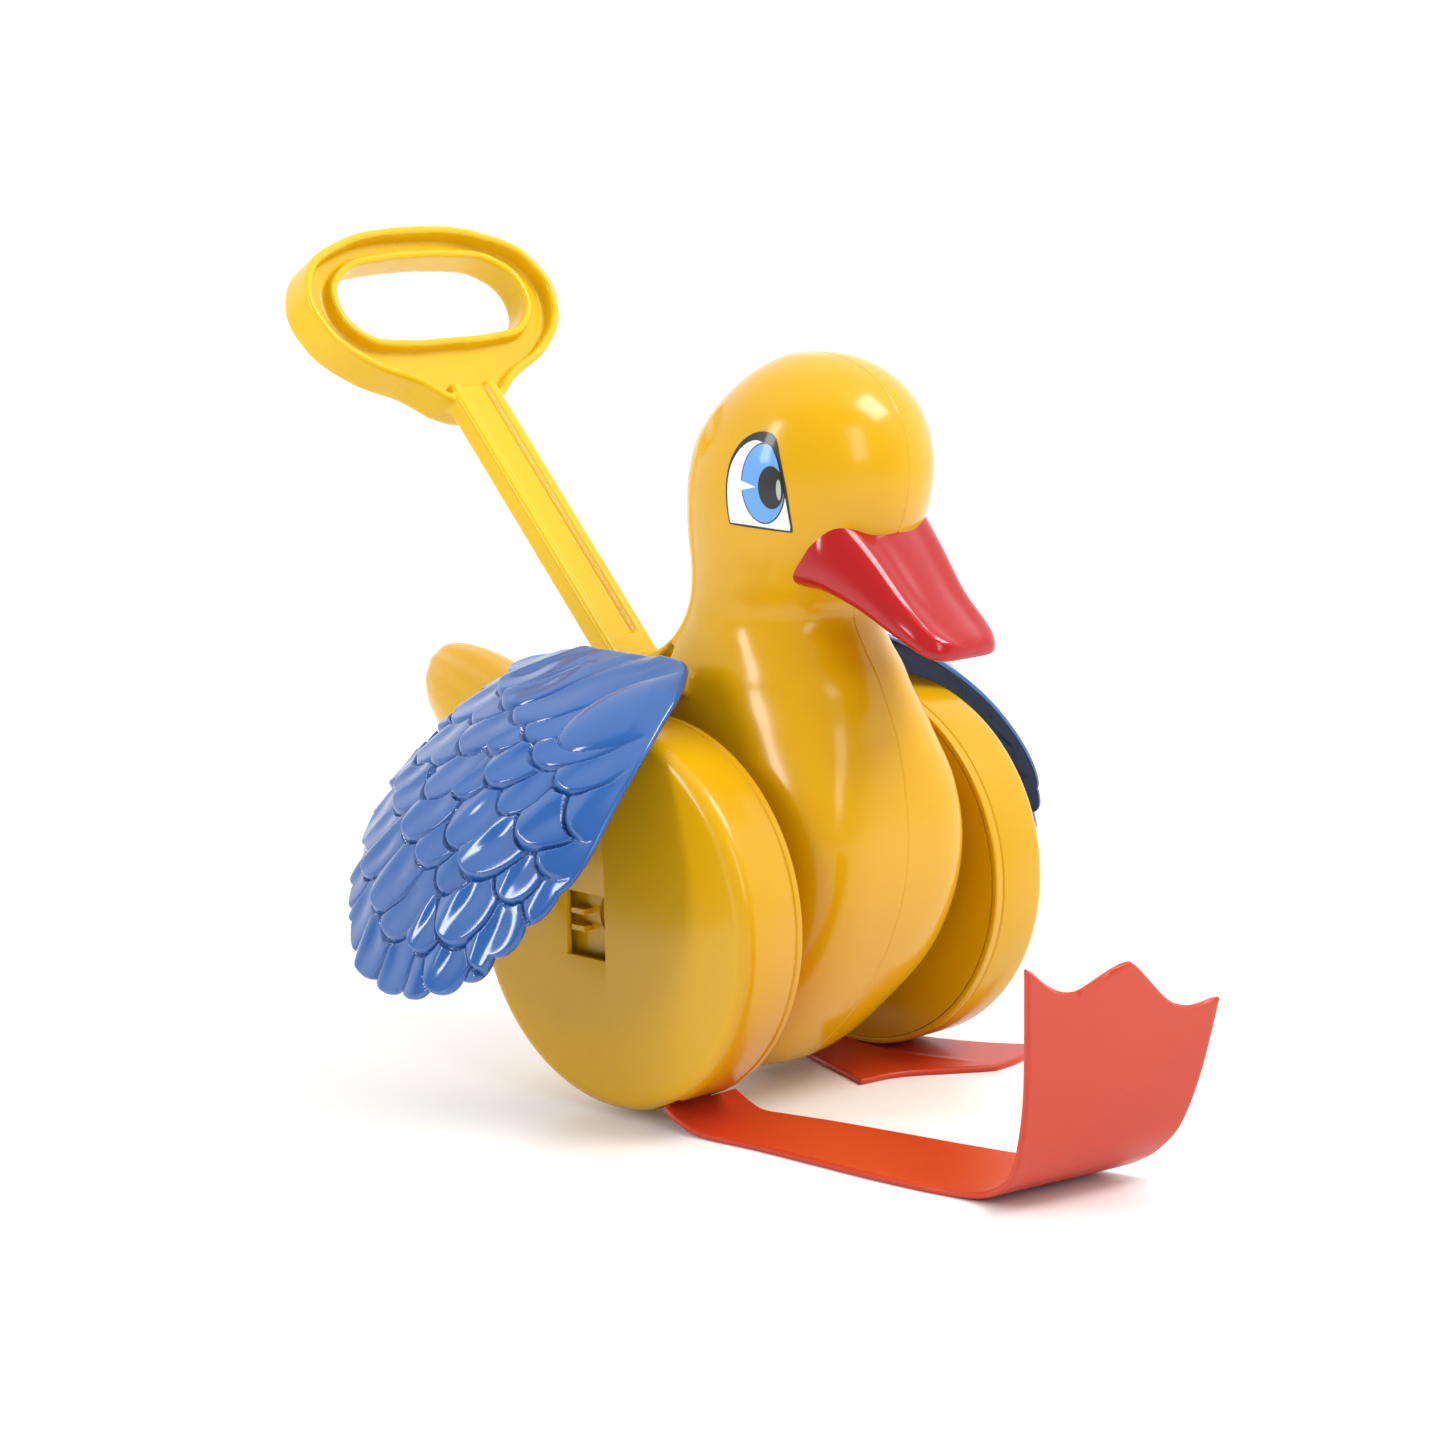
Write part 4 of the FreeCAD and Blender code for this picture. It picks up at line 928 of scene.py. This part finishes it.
def build_wing(side, sign):
    axes = wing_axes()
    along, across, out = axes
    edge = np.array([[np.dot(np.array(p) - WING_CENTRE, along), np.dot(np.array(p) - WING_CENTRE, across)]
                     for p in WING_EDGE])
    # round the corner between the root and the leading edge
    root_way, lead_way = edge[-1] - edge[0], edge[1] - edge[0]
    rounded = [edge[0] + root_way * 0.16, edge[0] + root_way * 0.05 + lead_way * 0.08, edge[0] + lead_way * 0.36]
    closed = np.concatenate([rounded, edge[1:], [rounded[0]]])
    steps = np.concatenate([[0], np.cumsum(np.linalg.norm(np.diff(closed, axis=0), axis=1))])
    outline = hermite(steps, closed, np.linspace(0, steps[-1], 720, endpoint=False))
    middle = edge.mean(0)
    offset = outline - middle
    # scalloped tips of the feathers along the outer and rear edge
    travel = np.linspace(0, steps[-1], 720, endpoint=False)
    soft = np.clip((travel - steps[5]) / 25, 0, 1) * np.clip((steps[-2] - travel) / 20, 0, 1)
    wave = np.abs(np.sin(np.pi * travel / SCALLOP_LONG)) ** 0.6
    far = np.linalg.norm(offset, axis=1)
    offset = offset * (1 + (soft * (wave - 1) * SCALLOP_DEEP / far))[:, None]
    rings = np.concatenate([np.linspace(0.03, 0.965, 130), [0.975, 0.984, 0.991, 0.996, 1.0]])
    flat = np.concatenate([[middle]] + [middle + offset * r for r in rings])
    from_edge = np.concatenate([[far.min()]] + [far * (1 - r) for r in rings])
    relief = feather_relief(flat)
    # a smooth oval shoulder near the front of the root, and a plain front border
    shoulder_at = np.array([edge[0][0] + 24, edge[0][1] - 18])
    spot = ((flat[:, 0] - shoulder_at[0]) / 30) ** 2 + ((flat[:, 1] - shoulder_at[1]) / 15) ** 2
    relief = np.where(spot < 1, 1.2 + 3.4 * np.clip(1 - spot, 0, 1) ** 0.5, relief)
    # a plain band runs down the leading edge
    lead = np.concatenate([[0.0]] + [np.clip((steps[6] - travel) / 20, 0, 1)] * len(rings))
    band = np.clip(1.15 - from_edge / 9.0, 0, 1) * lead
    relief = relief * (1 - band) + 2.2 * band
    rim = np.clip(from_edge / 1.3, 0, 1)
    bow = np.sqrt(np.clip(1 - (1 - rim) ** 2, 0, 1))
    base = on_sphere(flat, axes, WING_RADIUS - WING_THICK * 0.5)
    normal = (base - WING_CENTRE) / np.linalg.norm(base - WING_CENTRE, axis=1)[:, None]
    outer = base + normal * ((WING_THICK * 0.5 - WING_SUNK + relief) * bow)[:, None]
    inner = base - normal * ((WING_THICK * 0.5 - INNER_SHARE * relief) * bow)[:, None]
    count = len(outline)
    faces = []
    for start in (0, len(flat)):
        for n in range(count):
            after = (n + 1) % count
            faces.append((start, start + 1 + n, start + 1 + after))
            for r in range(len(rings) - 1):
                a, b = start + 1 + r * count, start + 1 + (r + 1) * count
                faces.append((a + n, b + n, b + after, a + after))
    rim_start = 1 + (len(rings) - 1) * count
    for n in range(count):
        after = (n + 1) % count
        faces.append((rim_start + n, rim_start + after, len(flat) + rim_start + after, len(flat) + rim_start + n))
    points = np.concatenate([outer, inner])
    points[:, 1] *= sign
    wing = make_object("feather_wing_" + side, points, faces)
    weld(wing)
    for polygon in wing.data.polygons:
        polygon.use_smooth = True
    paint(wing, BLUE)
    # faces on the inner side get the darker blue, which paints in the shade that falls there
    wing.data.materials.append(BLUE_INSIDE_PAINTED_SHADE)
    middle_point = Vector(to_frame(WING_CENTRE * (1, sign, 1))[0])
    for polygon in wing.data.polygons:
        if polygon.normal.dot(polygon.center - middle_point) < 0:
            polygon.material_index = 1
    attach(wing, "wing_" + side)
    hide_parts("wing_" + side)


# ---------------------------------------------------------------- assembly
duck = build_duck()
build_beak()
build_eyes(duck)
build_handle()
for side, sign in SIDES.items():
    build_wheel(side, sign)
    build_wing(side, sign)
build_foot("right", -1, RIGHT_LINES, RIGHT_TOES)
build_foot("left", 1, LEFT_LINES, LEFT_TOES)

# CAD nodes that stay as they are get their finish here
KEPT = {"wheel_cover": WHEEL_YELLOW, "hub_clip": WHEEL_YELLOW, "axle_bush": NATURAL, "cam_disc": NATURAL,
        "wing_arm": BLUE, "wing_pin": STEEL, "foot_anchor": STEEL}
for stem, material in KEPT.items():
    for side in SIDES:
        paint(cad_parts[stem + "_" + side], material)
for name in ("axle", "handle_pin", "shell_screws"):
    paint(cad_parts[name], STEEL)


# ---------------------------------------------------------------- stage, light and camera
FLOOR_HALF = 14000.0


def build_floor():
    far = FLOOR_HALF
    floor = make_object("floor", [(-far, -far, 0), (far, -far, 0), (far, far, 0), (-far, far, 0)], [(0, 1, 2, 3)])
    material = moulded("paper_floor", (0.95, 0.95, 0.945), (0.93, 0.93, 0.925), 0.30, coat=0.0, grain=60.0, bump=0.0)
    material.node_tree.nodes["Principled BSDF"].inputs["Specular IOR Level"].default_value = 0.35
    paint(floor, material)


def soft_light(name, place, aim, across, power, tint=(1, 1, 1)):
    light = bpy.data.lights.new(name, "AREA")
    light.shape = "RECTANGLE"
    light.size, light.size_y = across
    light.energy = power
    light.color = tint
    obj = bpy.data.objects.new(name, light)
    obj.location = place
    obj.rotation_euler = (Vector(aim) - Vector(place)).to_track_quat("-Z", "Y").to_euler()
    bpy.context.scene.collection.objects.link(obj)


CAMERA_PLACE = (1.0392, -1.0580, 0.3980)
CAMERA_YAW = 2.357
CAMERA_PITCH = -0.172
CAMERA_ROLL = -0.014
CAMERA_LENS = 96.9


def build_camera():
    camera = bpy.data.cameras.new("camera")
    camera.lens = CAMERA_LENS
    camera.sensor_width = 36
    camera.clip_end = 50
    obj = bpy.data.objects.new("camera", camera)
    way = Vector((math.cos(CAMERA_PITCH) * math.cos(CAMERA_YAW), math.cos(CAMERA_PITCH) * math.sin(CAMERA_YAW),
                  math.sin(CAMERA_PITCH)))
    right = way.cross(Vector((0, 0, 1))).normalized()
    up = right.cross(way)
    tilted_right = right * math.cos(CAMERA_ROLL) + up * math.sin(CAMERA_ROLL)
    tilted_up = up * math.cos(CAMERA_ROLL) - right * math.sin(CAMERA_ROLL)
    turn = Matrix((tilted_right, tilted_up, -way)).transposed().to_4x4()
    obj.matrix_world = Matrix.Translation((CAMERA_PLACE[0] + AXLE.x, CAMERA_PLACE[1], CAMERA_PLACE[2])) @ turn
    bpy.context.scene.collection.objects.link(obj)
    bpy.context.scene.camera = obj


build_floor()
soft_light("key", (0.9, 0.5, 1.5), (0, 0, 0.12), (0.7, 0.7), 20)
soft_light("left_window", (-0.35, -1.35, 0.75), (0, 0, 0.15), (0.22, 0.8), 8)
soft_light("front_fill", (1.6, -0.5, 0.9), (0, 0, 0.12), (0.5, 0.9), 6)


def build_world():
    """White studio whose wall behind the camera is dimmer, so that glossy faces show some contrast."""
    world = bpy.data.worlds.new("studio")
    world.use_nodes = True
    nodes, links = world.node_tree.nodes, world.node_tree.links
    where = nodes.new("ShaderNodeTexCoord")
    dot = nodes.new("ShaderNodeVectorMath")
    dot.operation = "DOT_PRODUCT"
    dot.inputs[1].default_value = (0.68, -0.70, -0.22)
    links.new(where.outputs["Generated"], dot.inputs[0])
    ramp = nodes.new("ShaderNodeMapRange")
    ramp.interpolation_type = "SMOOTHSTEP"
    ramp.inputs["From Min"].default_value = -0.05
    ramp.inputs["From Max"].default_value = 0.35
    ramp.inputs["To Min"].default_value = 1.25
    ramp.inputs["To Max"].default_value = 0.42
    links.new(dot.outputs["Value"], ramp.inputs["Value"])
    links.new(ramp.outputs["Result"], nodes["Background"].inputs["Strength"])
    nodes["Background"].inputs["Color"].default_value = (1, 1, 1, 1)
    return world


bpy.context.scene.world = build_world()
bpy.context.scene.view_settings.view_transform = "Standard"
build_camera()

bpy.context.view_layer.update()
